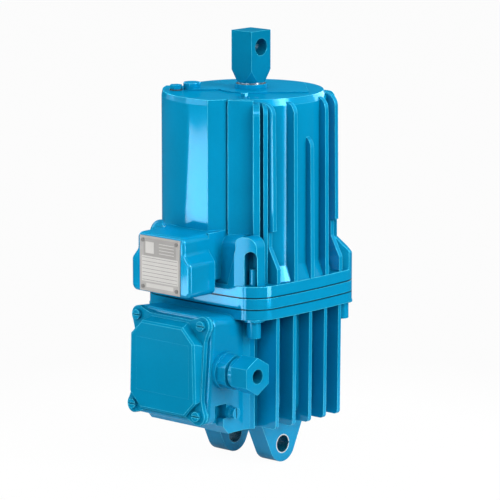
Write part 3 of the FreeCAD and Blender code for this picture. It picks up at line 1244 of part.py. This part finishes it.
def impeller():
    """Open radial impeller with backward-curved blades."""
    disc_top = IMPELLER_Z + IMPELLER_DISC
    back = disc(IMPELLER_RADIUS, IMPELLER_Z, disc_top)
    hub = disc(IMPELLER_HUB_RADIUS, disc_top, BLADE_TOP_Z)
    half = BLADE_THICKNESS / 2
    offset = (IMPELLER_RADIUS + IMPELLER_HUB_RADIUS) / 2 - BLADE_CURVE_RADIUS
    hoop = ring(BLADE_CURVE_RADIUS + half, BLADE_CURVE_RADIUS - half, disc_top, BLADE_TOP_Z)
    hoop.translate(V(offset, -BLADE_CURVE_RADIUS, 0))
    span = ring(IMPELLER_RADIUS, IMPELLER_HUB_RADIUS - half, disc_top, BLADE_TOP_Z)
    side = block(0, IMPELLER_RADIUS, -BLADE_CURVE_RADIUS, IMPELLER_RADIUS, disc_top, BLADE_TOP_Z)
    blade = hoop.common(span).common(side)
    blades = [turned(blade, FULL_TURN / BLADE_COUNT * i) for i in range(BLADE_COUNT)]
    return fused([back, hub] + blades).cut(disc(SHAFT_NOSE_RADIUS + SEAT, IMPELLER_Z, BLADE_TOP_Z))


def impeller_nut():
    nut = hexagon(IMPELLER_NUT_ACROSS, V(0, 0, BLADE_TOP_Z), Z_AXIS, IMPELLER_NUT_HEIGHT)
    return nut.cut(disc(SHAFT_NOSE_RADIUS + SEAT, BLADE_TOP_Z, BLADE_TOP_Z + IMPELLER_NUT_HEIGHT))


NODES = {
    "motor_housing": motor_housing(),
    "foot_bushes": foot_bushes(),
    "stator_core": stator_core(),
    "stator_windings": stator_windings(),
    "lower_bearing_outer": bearing_outer(FLOOR_Z),
    "lower_bearing_inner": bearing_inner(FLOOR_Z),
    "upper_bearing_outer": bearing_outer(UPPER_BEARING_Z),
    "upper_bearing_inner": bearing_inner(UPPER_BEARING_Z),
    "bearing_plate": bearing_plate(),
    "motor_o_ring": o_ring(MOTOR_O_RING_RADIUS, MOTOR_JOINT_Z + GROOVE_DEPTH / 2),
    "housing_o_ring": o_ring(HOUSING_O_RING_RADIUS, HOUSING_JOINT_Z - GROOVE_DEPTH / 2),
    "shaft_seal": shaft_seal(),
    "motor_shaft": motor_shaft(),
    "rotor_core": rotor_core(),
    "rotor_end_rings": rotor_end_rings(),
    "impeller": impeller(),
    "impeller_nut": impeller_nut(),
    "upper_housing": upper_housing(),
    "top_cover": top_cover(),
    "rod_guide_bush": rod_guide_bush(),
    "rod_wiper_seal": rod_wiper_seal(),
    "filler_plug": filler_plug(),
    "filler_seal": filler_seal(),
    "diffuser_plate": diffuser_plate(),
    "cylinder_sleeve": cylinder_sleeve(),
    "piston": piston(),
    "piston_ring": piston_ring(),
    "piston_nut": piston_nut(),
    "piston_rod": piston_rod(),
    "pressure_lug": pressure_lug(),
    "flange_bolts": flange_bolts(),
    "flange_washers": flange_washers(),
    "terminal_lid": terminal_lid(),
    "lid_gasket": lid_gasket(),
    "lid_screws": lid_screws(),
    "terminal_board": terminal_board(),
    "terminal_studs": terminal_studs(),
    "gland_body": gland_body(),
    "gland_seal": gland_seal(),
    "gland_nut": gland_nut(),
    "earth_screw": earth_screw(),
    "earth_washer": earth_washer(),
    "nameplate": nameplate(),
    "nameplate_rivets": nameplate_rivets(),
}

os.makedirs("parts", exist_ok=True)
for name, shape in NODES.items():
    shape.exportStep("parts/" + name + ".step")
    state = "valid" if shape.isValid() else "INVALID"
    print(name, len(shape.Solids), "solids", round(shape.Volume), "mm3", state)
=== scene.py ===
import math

import bpy
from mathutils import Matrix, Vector


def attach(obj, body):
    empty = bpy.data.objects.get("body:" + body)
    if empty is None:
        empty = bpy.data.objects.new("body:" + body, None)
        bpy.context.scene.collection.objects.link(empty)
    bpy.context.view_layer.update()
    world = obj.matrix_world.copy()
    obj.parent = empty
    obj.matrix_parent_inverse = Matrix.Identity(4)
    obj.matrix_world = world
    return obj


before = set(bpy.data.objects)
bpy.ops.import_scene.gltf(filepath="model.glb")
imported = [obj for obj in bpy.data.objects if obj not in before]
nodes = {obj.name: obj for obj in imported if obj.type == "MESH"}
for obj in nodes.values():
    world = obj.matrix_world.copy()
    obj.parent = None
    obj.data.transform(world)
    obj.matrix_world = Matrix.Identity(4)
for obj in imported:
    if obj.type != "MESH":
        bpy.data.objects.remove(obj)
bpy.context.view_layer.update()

# Camera. The photograph looks down a little on the corner between the terminal box and the ribbed side,
# through a long lens from a few metres away.
VIEW_AZIMUTH = math.radians(42.39)
VIEW_ELEVATION = math.radians(10.758)
VIEW_DISTANCE = 3.35806
VIEW_LENS = 259.73
VIEW_SIDE_STEP = -0.000951
VIEW_HEIGHT = 0.17858
SENSOR_WIDTH = 36
FAR_CLIP = 50

side_way = Vector((math.cos(VIEW_AZIMUTH), math.sin(VIEW_AZIMUTH), 0))
back_way = Vector((math.sin(VIEW_AZIMUTH) * math.cos(VIEW_ELEVATION),
                   -math.cos(VIEW_AZIMUTH) * math.cos(VIEW_ELEVATION), math.sin(VIEW_ELEVATION)))
aim = side_way * VIEW_SIDE_STEP + Vector((0, 0, VIEW_HEIGHT))
bpy.ops.object.camera_add(location=aim + back_way * VIEW_DISTANCE)
camera = bpy.context.object
camera.name = "camera"
camera.rotation_mode = "QUATERNION"
camera.rotation_quaternion = (-back_way).to_track_quat("-Z", "Y")
camera.data.sensor_width = SENSOR_WIDTH
camera.data.lens = VIEW_LENS
camera.data.clip_end = FAR_CLIP
bpy.context.scene.camera = camera
bpy.context.scene.view_settings.view_transform = "Standard"

# Studio. A pale paper sheet under the feet on a dim floor, two light tables that lie on the floor in front,
# soft boxes left and right, an edge strip, and wide fills all round. The tables and boxes are what the
# upright bright bands on the paint reflect.
FLOOR_Z = -0.0171
FLOOR_SIZE = 30
SHEET_RADIUS = 0.25
SHEET_FADE = 5.0
PALE = (0.75, 0.75, 0.75, 1)
DIM = (0.08, 0.08, 0.08, 1)
WHITE = (1, 1, 1, 1)
GLOW_TO_CAMERA = 0.97
GLOW_IN_GLOSS = 0.3
ROOM_LIGHT = 0.32
BACKDROP_LIGHT = 1.0
BACKDROP_START = 0.1
TABLE_HEIGHT = 0.002
CAMERA_RAY = 0
GLOSSY_RAY = 3
TRANSMISSION_RAY = 6
OBJECT_PLACE = 3


class Wire:
    """One shader socket. Arithmetic on it adds Math nodes, and node() adds any other node to its tree."""

    def __init__(self, tree, socket=None):
        self.tree = tree
        self.socket = socket

    def node(self, kind, settings=None, sockets=None, out=0):
        made = self.tree.nodes.new(kind)
        for name, value in (settings or {}).items():
            setattr(made, name, value)
        for name, value in (sockets or {}).items():
            if isinstance(value, Wire):
                self.tree.links.new(value.socket, made.inputs[name])
            else:
                made.inputs[name].default_value = value
        return Wire(self.tree, made.outputs[out] if made.outputs else None)

    def maths(self, operation, first, second):
        return self.node("ShaderNodeMath", {"operation": operation}, {0: first, 1: second})

    def __add__(self, other):
        return self.maths("ADD", self, other)

    def __radd__(self, other):
        return self.maths("ADD", other, self)

    def __sub__(self, other):
        return self.maths("SUBTRACT", self, other)

    def __rsub__(self, other):
        return self.maths("SUBTRACT", other, self)

    def __mul__(self, other):
        return self.maths("MULTIPLY", self, other)

    def __rmul__(self, other):
        return self.maths("MULTIPLY", other, self)

    def __pow__(self, other):
        return self.maths("POWER", self, other)

    def above(self, other):
        return self.maths("MAXIMUM", self, other)

    def below(self, other):
        return self.maths("MINIMUM", self, other)


def blank_material(name):
    """A new material with an empty tree, and the wire that its nodes are added from."""
    material = bpy.data.materials.new(name)
    material.use_nodes = True
    material.node_tree.nodes.clear()
    return material, Wire(material.node_tree)


def blended(start, factor, first, second):
    return start.node("ShaderNodeMix", {"data_type": "RGBA"}, {0: factor, 6: first, 7: second}, 2)


def noise(place, scale, detail):
    return place.node("ShaderNodeTexNoise", {}, {"Vector": place, "Scale": scale, "Detail": detail})


def ray_kinds(start):
    """Whether a ray comes from the camera, from a glossy surface or through a clear one."""
    kinds = (CAMERA_RAY, GLOSSY_RAY, TRANSMISSION_RAY)
    return [start.node("ShaderNodeLightPath", out=kind) for kind in kinds]


bpy.ops.object.select_all(action="DESELECT")
bpy.ops.mesh.primitive_plane_add(size=FLOOR_SIZE, location=(0, 0, FLOOR_Z))
floor = bpy.context.object
floor.name = "floor"
floor_finish, start = blank_material("floor_paper")
seen, seen_in_gloss, seen_through = ray_kinds(start)
spot = start.node("ShaderNodeTexCoord", out=OBJECT_PLACE)
away = start.node("ShaderNodeVectorMath", {"operation": "LENGTH"}, {0: spot}, 1)
sheet = (1.0 - SHEET_FADE * (away - SHEET_RADIUS)).above(0.0).below(1.0)
paper_noise = noise(spot, 40.0, 3.0)
paper = start.node("ShaderNodeBsdfDiffuse", {}, {"Color": blended(start, sheet, DIM, PALE),
                                                 "Roughness": 0.2 + 0.1 * paper_noise})
glow = start.node("ShaderNodeEmission", {}, {"Color": WHITE, "Strength": 1.0})
share = (GLOW_TO_CAMERA * seen.above(seen_through)).above(GLOW_IN_GLOSS * sheet * seen_in_gloss)
lit = start.node("ShaderNodeMixShader", {}, {0: share, 1: paper, 2: glow})
start.node("ShaderNodeOutputMaterial", {}, {"Surface": lit})
floor.data.materials.append(floor_finish)

world = bpy.data.worlds.new("studio_world")
bpy.context.scene.world = world
world.use_nodes = True
world.node_tree.nodes.clear()
start = Wire(world.node_tree)
seen, seen_in_gloss, seen_through = ray_kinds(start)
looking = start.node("ShaderNodeTexCoord", out=0)
beyond = start.node("ShaderNodeVectorMath", {"operation": "DOT_PRODUCT"},
                    {0: looking, 1: (-math.sin(VIEW_AZIMUTH), math.cos(VIEW_AZIMUTH), 0)}, 1)
behind = (BACKDROP_START + beyond).above(0.0).below(1.0)
room = start.node("ShaderNodeBackground", {}, {"Color": WHITE, "Strength": ROOM_LIGHT})
backdrop = start.node("ShaderNodeBackground", {}, {"Color": WHITE, "Strength": BACKDROP_LIGHT})
mixed = start.node("ShaderNodeMixShader", {}, {0: seen.above(seen_through).above(seen_in_gloss * behind),
                                               1: room, 2: backdrop})
start.node("ShaderNodeOutputWorld", {}, {"Surface": mixed})


def around(azimuth, distance, height):
    """A place at a distance from the object's axis. Azimuth 0 is in front of the terminal box."""
    angle = math.radians(azimuth)
    return Vector((math.sin(angle) * distance, -math.cos(angle) * distance, height))


def area_lamp(name, middle, width, length, watts):
    bpy.ops.object.light_add(type="AREA", location=middle)
    lamp = bpy.context.object
    lamp.name = name
    lamp.data.shape = "RECTANGLE"
    lamp.data.size = width
    lamp.data.size_y = length
    lamp.data.energy = watts
    lamp.visible_camera = False
    return lamp


def soft_box(name, azimuth, distance, width, low, high, watts):
    """Upright lamp between two heights that faces the object's axis."""
    middle = around(azimuth, distance, (low + high) / 2)
    lamp = area_lamp(name, middle, width, high - low, watts)
    lamp.rotation_mode = "QUATERNION"
    towards = Vector((-middle.x, -middle.y, 0))
    lamp.rotation_quaternion = towards.to_track_quat("-Z", "Y")


def light_table(name, azimuth, near, far, width, watts):
    """Lamp that lies on the floor, faces up and points its length at the object's axis."""
    middle = around(azimuth, (near + far) / 2, FLOOR_Z + TABLE_HEIGHT)
    lamp = area_lamp(name, middle, width, far - near, watts)
    lamp.rotation_euler = (math.pi, 0, math.radians(azimuth))


light_table("near_light_table", azimuth=-20.5, near=0.7, far=1.25, width=0.6, watts=6.1)
light_table("far_light_table", azimuth=-29.5, near=1.25, far=2.1, width=0.92, watts=14.6)
soft_box("left_soft_box", azimuth=-31, distance=0.9, width=0.5, low=0.3, high=1.2, watts=3.0)
soft_box("right_soft_box", azimuth=100, distance=0.8, width=0.24, low=0.0, high=1.1, watts=6.0)
soft_box("front_fill", azimuth=30, distance=2.6, width=2.4, low=1.2, high=2.6, watts=33.0)
soft_box("side_fill", azimuth=84, distance=2.4, width=1.6, low=0.9, high=2.4, watts=46.0)
soft_box("edge_strip", azimuth=8, distance=0.63, width=0.09, low=0.0, high=0.9, watts=1.0)
soft_box("back_fill", azimuth=182, distance=2.4, width=1.8, low=0.4, high=1.8, watts=34.0)
soft_box("left_fill", azimuth=264, distance=2.4, width=1.8, low=0.4, high=1.8, watts=30.0)

# Paint. The assembled thruster is sprayed all over with a glossy machine enamel, which runs over castings,
# bolts, gland and eye alike. Its colour is darkened in the corners as painted shade, and lightened to a
# bright line along the cast edges as a painted highlight.
ENAMEL = (0.0006, 0.305, 0.58, 1)
# Darker enamel: the coat's random dark tone, the paint inside the foot bushes, and painted shade in corners
# and on the eye and lid.
ENAMEL_DARK_AND_SHADE = (0.0003, 0.11, 0.18, 1)
# Painted highlight: the bright colour drawn along the cast edges.
ENAMEL_PAINTED_HIGHLIGHT = (0.09, 0.72, 0.97, 1)
ENAMEL_GLINT = (0.02, 0.75, 1.0, 1)
ENAMEL_SHADOW = (0.0, 0.03, 0.06, 1)
JOINT_HALF_WIDTH = 0.0007
EDGE_RADIUS = 0.0009
CLOUD_SCALE = 22.0
SKIN_SCALE = 420.0
PEEL_SCALE = 1300.0
CORNER_REACH = 0.022
RELIEF_DEPTH = 0.0006


def enamel(name, grain, edge=EDGE_RADIUS, gloss=1.0, depth=0.0, joints=()):
    """Blue enamel. grain: how strongly the sand-cast skin shows; edge: softness of the corners; gloss: 1 for
    the bright coat, near 0 for a dull one; depth: how much darker the whole enamel is mixed, a painted
    shade;
    joints: heights of the joint lines, which stay dark."""
    material, start = blank_material(name)
    place = start.node("ShaderNodeTexCoord", out=OBJECT_PLACE)
    cloud = noise(place, CLOUD_SCALE, 4.0)
    skin = noise(place, SKIN_SCALE, 5.0)
    peel = noise(place, PEEL_SCALE, 1.0)
    rounded = start.node("ShaderNodeBevel", {"samples": 6}, {"Radius": edge})
    flat = start.node("ShaderNodeNewGeometry", out=3)
    along = start.node("ShaderNodeVectorMath", {"operation": "DOT_PRODUCT"}, {0: rounded, 1: flat}, 1)
    open_air = start.node("ShaderNodeAmbientOcclusion", {"samples": 5}, {"Distance": CORNER_REACH}, 1)
    exposed = (2.5 * open_air - 1.4).above(0.0).below(1.0)
    # Painted highlight: a mask of the rounded edges in open places, where the colour is lightened.
    painted_edge_highlight = (9.0 * (1.0 - along)).below(1.0) * exposed
    upward = start.node("ShaderNodeSeparateXYZ", {}, {0: flat}, 2).above(0.0)
    level = start.node("ShaderNodeSeparateXYZ", {}, {0: place}, 2)
    dust = upward * upward
    # Painted shade: the colour is darkened where little open air is around, in corners and between fins. The
    # same mask also makes the coat rougher there.
    painted_corner_shade = (0.8 * (1.0 - open_air) ** 1.7).below(0.5)
    # Random tone of the coat, plus depth: painted shade mixed in all over.
    tone = blended(start, depth + 0.30 * cloud + 0.12 * skin, ENAMEL, ENAMEL_DARK_AND_SHADE)
    # Painted shade in the corners.
    tone = blended(start, painted_corner_shade, tone, ENAMEL_DARK_AND_SHADE)
    # Painted highlight along the edges.
    tone = blended(start, painted_edge_highlight, tone, ENAMEL_PAINTED_HIGHLIGHT)
    for joint in joints:
        seam = start.maths("LESS_THAN", (level - joint) * (level - joint), JOINT_HALF_WIDTH ** 2)
        tone = blended(start, 0.9 * seam, tone, ENAMEL_SHADOW)
    height = grain * skin + 0.12 * peel
    relief = start.node("ShaderNodeBump", {}, {"Strength": 0.03, "Distance": RELIEF_DEPTH, "Height": height,
                                               "Normal": rounded})
    coat = start.node("ShaderNodeBsdfPrincipled", {}, {
        "Base Color": tone, "Metallic": 0.24 * gloss,
        "Roughness": 0.1 + 0.3 * (1.0 - gloss) + 0.06 * skin + 0.15 * painted_corner_shade + 0.25 * dust,
        "Specular IOR Level": 0.0, "Specular Tint": ENAMEL_GLINT,
        "Coat Weight": gloss * (0.5 - 0.48 * dust), "Coat Roughness": 0.05 + 0.2 * (1.0 - gloss),
        "Normal": relief})
    start.node("ShaderNodeOutputMaterial", {}, {"Surface": coat})
    return material


# Castings. Motor housing with its fins, feet and terminal box, bearing plate, and the ribbed upper housing:
# aluminium sand castings with a slightly grainy skin under the paint. The flange bolts hold them together,
# and the two joints between them stay dark.
JOINT_HEIGHTS = (0.1405, 0.1515)


def finish_nodes(material, *names):
    """Give CAD nodes their finish in place of the plain one they came with."""
    for name in names:
        nodes[name].data.materials.clear()
        nodes[name].data.materials.append(material)


cast_enamel = enamel("cast_enamel", 0.45, joints=JOINT_HEIGHTS)
finish_nodes(cast_enamel, "motor_housing", "bearing_plate", "upper_housing")

# Top cover and guide bush. A pressed sheet and a turned bush on the housing's top, where the rod comes out.
# They are smoother than the castings under the same coat.
smooth_enamel = enamel("smooth_enamel", 0.15, edge=0.0006)
finish_nodes(smooth_enamel, "top_cover", "rod_guide_bush")

# Eye on top of the rod. A machined block with crisp edges and a cross bore for the lever's pin. Its
# enamel is mixed darker all over, as painted shade.
eye_enamel = enamel("eye_enamel", 0.1, edge=0.0005, depth=0.3)
finish_nodes(eye_enamel, "pressure_lug")

# Terminal lid, its gasket and its screws. A small die casting, screwed down on the terminal box, with a
# duller coat than the rest whose colour is mixed darker as painted shade.
lid_enamel = enamel("lid_enamel", 0.15, edge=0.001, gloss=0.1, depth=0.25)
finish_nodes(lid_enamel, "terminal_lid", "lid_gasket", "lid_screws")

# Fasteners and gland. Flange bolts, earth screw, filler plug and cable gland: turned and hexagon pieces that
# were in place when the paint was sprayed, with finer edges than the castings.
fastener_enamel = enamel("fastener_enamel", 0.1, edge=0.0005)
finish_nodes(fastener_enamel, "flange_bolts", "flange_washers", "earth_screw", "earth_washer", "gland_body",
             "gland_nut", "filler_plug")

# Cover screw. A small hexagon screw on a washer, on the housing's top in front of the cover. It was painted
# over with the rest, and one corner of the head points at the camera's side.
SCREW_X = 0.0346
SCREW_Y = -0.0466
SCREW_SEAT_Z = 0.33
SCREW_WASHER = 0.0008
SCREW_WASHER_RADIUS = 0.0046
SCREW_WASHER_EDGE = 0.0002
SCREW_HEAD = 0.004
SCREW_HEAD_RADIUS = 0.0037
SCREW_HEAD_EDGE = 0.0004
SCREW_TURN = math.radians(-17.6)


def open_piece():
    """Start a new mesh at the origin, open for editing."""
    bpy.ops.object.select_all(action="DESELECT")
    bpy.ops.object.add(type="MESH", enter_editmode=True)


def close_piece(name, material):
    bpy.ops.object.mode_set(mode="OBJECT")
    piece = bpy.context.object
    piece.name = name
    piece.data.materials.append(material)
    return piece


open_piece()
bpy.ops.mesh.primitive_cylinder_add(vertices=32, radius=SCREW_WASHER_RADIUS, depth=SCREW_WASHER,
                                    location=(SCREW_X, SCREW_Y, SCREW_SEAT_Z + SCREW_WASHER / 2))
bpy.ops.mesh.bevel(offset=SCREW_WASHER_EDGE, segments=2)
bpy.ops.mesh.select_all(action="DESELECT")
screw_head_z = SCREW_SEAT_Z + SCREW_WASHER + SCREW_HEAD / 2
bpy.ops.mesh.primitive_cylinder_add(vertices=6, radius=SCREW_HEAD_RADIUS, depth=SCREW_HEAD,
                                    location=(SCREW_X, SCREW_Y, screw_head_z), rotation=(0, 0, SCREW_TURN))
bpy.ops.mesh.bevel(offset=SCREW_HEAD_EDGE, segments=2)
cover_screw = close_piece("cover_screw", fastener_enamel)
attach(cover_screw, "housing")

# Bare metal. Rod, shaft, bearing races, nuts and sleeve are bright steel with fine turning marks. The pump's
# parts and the piston are plain aluminium, the motor's cores are stacked sheet, its windings copper, and the
# terminal studs brass.
METAL_EDGE = 0.0003
MARK_DEPTH = 0.0002


def bare_metal(name, colour, shade, roughness, mark_scale=900.0):
    material, start = blank_material(name)
    place = start.node("ShaderNodeTexCoord", out=OBJECT_PLACE)
    marks = noise(place, mark_scale, 3.0)
    stain = noise(place, 60.0, 4.0)
    rounded = start.node("ShaderNodeBevel", {"samples": 4}, {"Radius": METAL_EDGE})
    relief = start.node("ShaderNodeBump", {}, {"Strength": 0.08, "Distance": MARK_DEPTH, "Height": marks,
                                               "Normal": rounded})
    body = start.node("ShaderNodeBsdfPrincipled", {}, {
        "Base Color": blended(start, stain, colour, shade), "Metallic": 1.0,
        "Roughness": roughness + 0.15 * marks, "Normal": relief})
    start.node("ShaderNodeOutputMaterial", {}, {"Surface": body})
    return material


bright_steel = bare_metal("bright_steel", (0.72, 0.73, 0.74, 1), (0.5, 0.51, 0.52, 1), 0.18)
finish_nodes(bright_steel, "piston_rod", "motor_shaft", "lower_bearing_outer", "lower_bearing_inner",
             "upper_bearing_outer", "upper_bearing_inner", "impeller_nut", "piston_nut", "piston_ring",
             "cylinder_sleeve")
bare_aluminium = bare_metal("bare_aluminium", (0.62, 0.63, 0.64, 1), (0.42, 0.43, 0.44, 1), 0.35, 500.0)
finish_nodes(bare_aluminium, "diffuser_plate", "piston", "impeller", "rotor_end_rings")
lamination = bare_metal("lamination", (0.22, 0.22, 0.24, 1), (0.1, 0.1, 0.11, 1), 0.45, 1600.0)
finish_nodes(lamination, "stator_core", "rotor_core")
brass = bare_metal("brass", (0.72, 0.52, 0.2, 1), (0.5, 0.34, 0.12, 1), 0.28)
finish_nodes(brass, "terminal_studs")
copper = bare_metal("copper", (0.65, 0.28, 0.13, 1), (0.4, 0.15, 0.07, 1), 0.3, 1400.0)
finish_nodes(copper, "stator_windings")

# Foot bushes. Wrapped steel, pressed in before painting. Paint ran into them, and only the outer end faces
# were wiped clean for the pin's washers.
BUSH_END = 0.0397
WIPED_STEEL = (0.8, 0.81, 0.82, 1)

bush_steel, start = blank_material("bush_steel")
place = start.node("ShaderNodeTexCoord", out=OBJECT_PLACE)
across = start.node("ShaderNodeSeparateXYZ", {}, {0: place}, 0)
wiped = start.maths("GREATER_THAN", across * across, BUSH_END ** 2)
scratches = noise(place, 700.0, 3.0)
body = start.node("ShaderNodeBsdfPrincipled", {}, {
    "Base Color": blended(start, wiped, ENAMEL_DARK_AND_SHADE, WIPED_STEEL), "Metallic": 0.3 + 0.7 * wiped,
    "Roughness": 0.2 + 0.15 * scratches})
start.node("ShaderNodeOutputMaterial", {}, {"Surface": body})
finish_nodes(bush_steel, "foot_bushes")

# Rubber and plastic. The seals are moulded black rubber in their grooves, and the terminal board is a brown
# moulding under the lid. Both were left dull.
MOULD_GRAIN_DEPTH = 0.0002


def dull_moulding(name, colour, shade, roughness):
    material, start = blank_material(name)
    place = start.node("ShaderNodeTexCoord", out=OBJECT_PLACE)
    dust = noise(place, 90.0, 4.0)
    grain = noise(place, 1500.0, 2.0)
    relief = start.node("ShaderNodeBump", {}, {"Strength": 0.15, "Distance": MOULD_GRAIN_DEPTH,
                                               "Height": grain})
    body = start.node("ShaderNodeBsdfPrincipled", {}, {
        "Base Color": blended(start, dust, colour, shade), "Roughness": roughness + 0.2 * dust,
        "Normal": relief})
    start.node("ShaderNodeOutputMaterial", {}, {"Surface": body})
    return material


black_rubber = dull_moulding("black_rubber", (0.012, 0.013, 0.014, 1), (0.04, 0.04, 0.042, 1), 0.5)
finish_nodes(black_rubber, "rod_wiper_seal", "motor_o_ring", "housing_o_ring", "shaft_seal", "gland_seal",
             "filler_seal")
board_plastic = dull_moulding("board_plastic", (0.16, 0.055, 0.02, 1), (0.1, 0.035, 0.014, 1), 0.35)
finish_nodes(board_plastic, "terminal_board")

# Rating plate. A thin satin metal sheet on four rivets, with nothing on it but a plain header field, an
# empty square and ruled lines for the entries. The print is very thin raised bars.
PLATE_FACE = -0.1228
PLATE_LOW = 0.156
PRINT = 0.00004
HEADER = (0.0, 0.041, 0.0405, 0.0165, 1)
EMPTY_SQUARE = (-0.0125, 0.0405, 0.0105, 0.0105, 2)
FOOT_FIELD = (0.0, 0.0055, 0.034, 0.0038, 1)
ENTRY_FIELD = (0.0, 0.0208, 0.0455, 0.0236, 1)
HEADER_LINE_LOW = 0.0362
HEADER_LINE_STEP = 0.0029
RULE_LOW = 0.0105
RULE_STEP = 0.0034

plate_metal = dull_moulding("plate_metal", (0.4, 0.39, 0.375, 1), (0.33, 0.32, 0.31, 1), 0.42)
finish_nodes(plate_metal, "nameplate")
rivet_metal = dull_moulding("rivet_metal", (0.2, 0.195, 0.19, 1), (0.15, 0.147, 0.143, 1), 0.4)
finish_nodes(rivet_metal, "nameplate_rivets")


def printed(name, material, bars):
    """Bars in one ink, each given as x, height over the plate's foot, width, height and layers of print."""
    open_piece()
    for x, z, width, height, layers in bars:
        bpy.ops.mesh.primitive_cube_add(size=1, location=(x, PLATE_FACE - layers * PRINT / 2, PLATE_LOW + z),
                                        scale=(width, layers * PRINT, height))
        bpy.ops.mesh.bevel(offset=PRINT / 4, segments=1)
    piece = close_piece(name, material)
    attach(piece, "housing")


header_grey = dull_moulding("header_grey", (0.33, 0.322, 0.31, 1), (0.27, 0.264, 0.255, 1), 0.45)
field_white = dull_moulding("field_white", (0.56, 0.55, 0.53, 1), (0.5, 0.49, 0.472, 1), 0.45)
rule_black = dull_moulding("rule_black", (0.1, 0.1, 0.1, 1), (0.16, 0.16, 0.155, 1), 0.5)
header_lines = [(0.0085, HEADER_LINE_LOW + HEADER_LINE_STEP * step, 0.0185, 0.0006, 2) for step in range(4)]
rules = [(0.0, RULE_LOW + RULE_STEP * row, 0.0435, 0.00035, 2) for row in range(7)]
printed("plate_header", header_grey, [HEADER])
printed("plate_fields", field_white, [EMPTY_SQUARE, FOOT_FIELD, ENTRY_FIELD] + header_lines)
printed("plate_rules", rule_black, rules)

# Lid panel. The lid casting has a very slightly raised square in the middle of its panel, left bare, with
# the same dull paint over it and a crisper edge.
SQUARE_PLACE = (0.001, -0.1211, 0.0867)
SQUARE_SIZE = (0.066, 0.0005, 0.0498)
SQUARE_EDGE = 0.0002

# Mixed darker like the lid's enamel, as painted shade.
square_enamel = enamel("square_enamel", 0.15, edge=0.0003, gloss=0.1, depth=0.25)
open_piece()
bpy.ops.mesh.primitive_cube_add(size=1, location=SQUARE_PLACE, scale=SQUARE_SIZE)
bpy.ops.mesh.bevel(offset=SQUARE_EDGE, segments=2)
lid_square = close_piece("lid_square", square_enamel)
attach(lid_square, "housing")
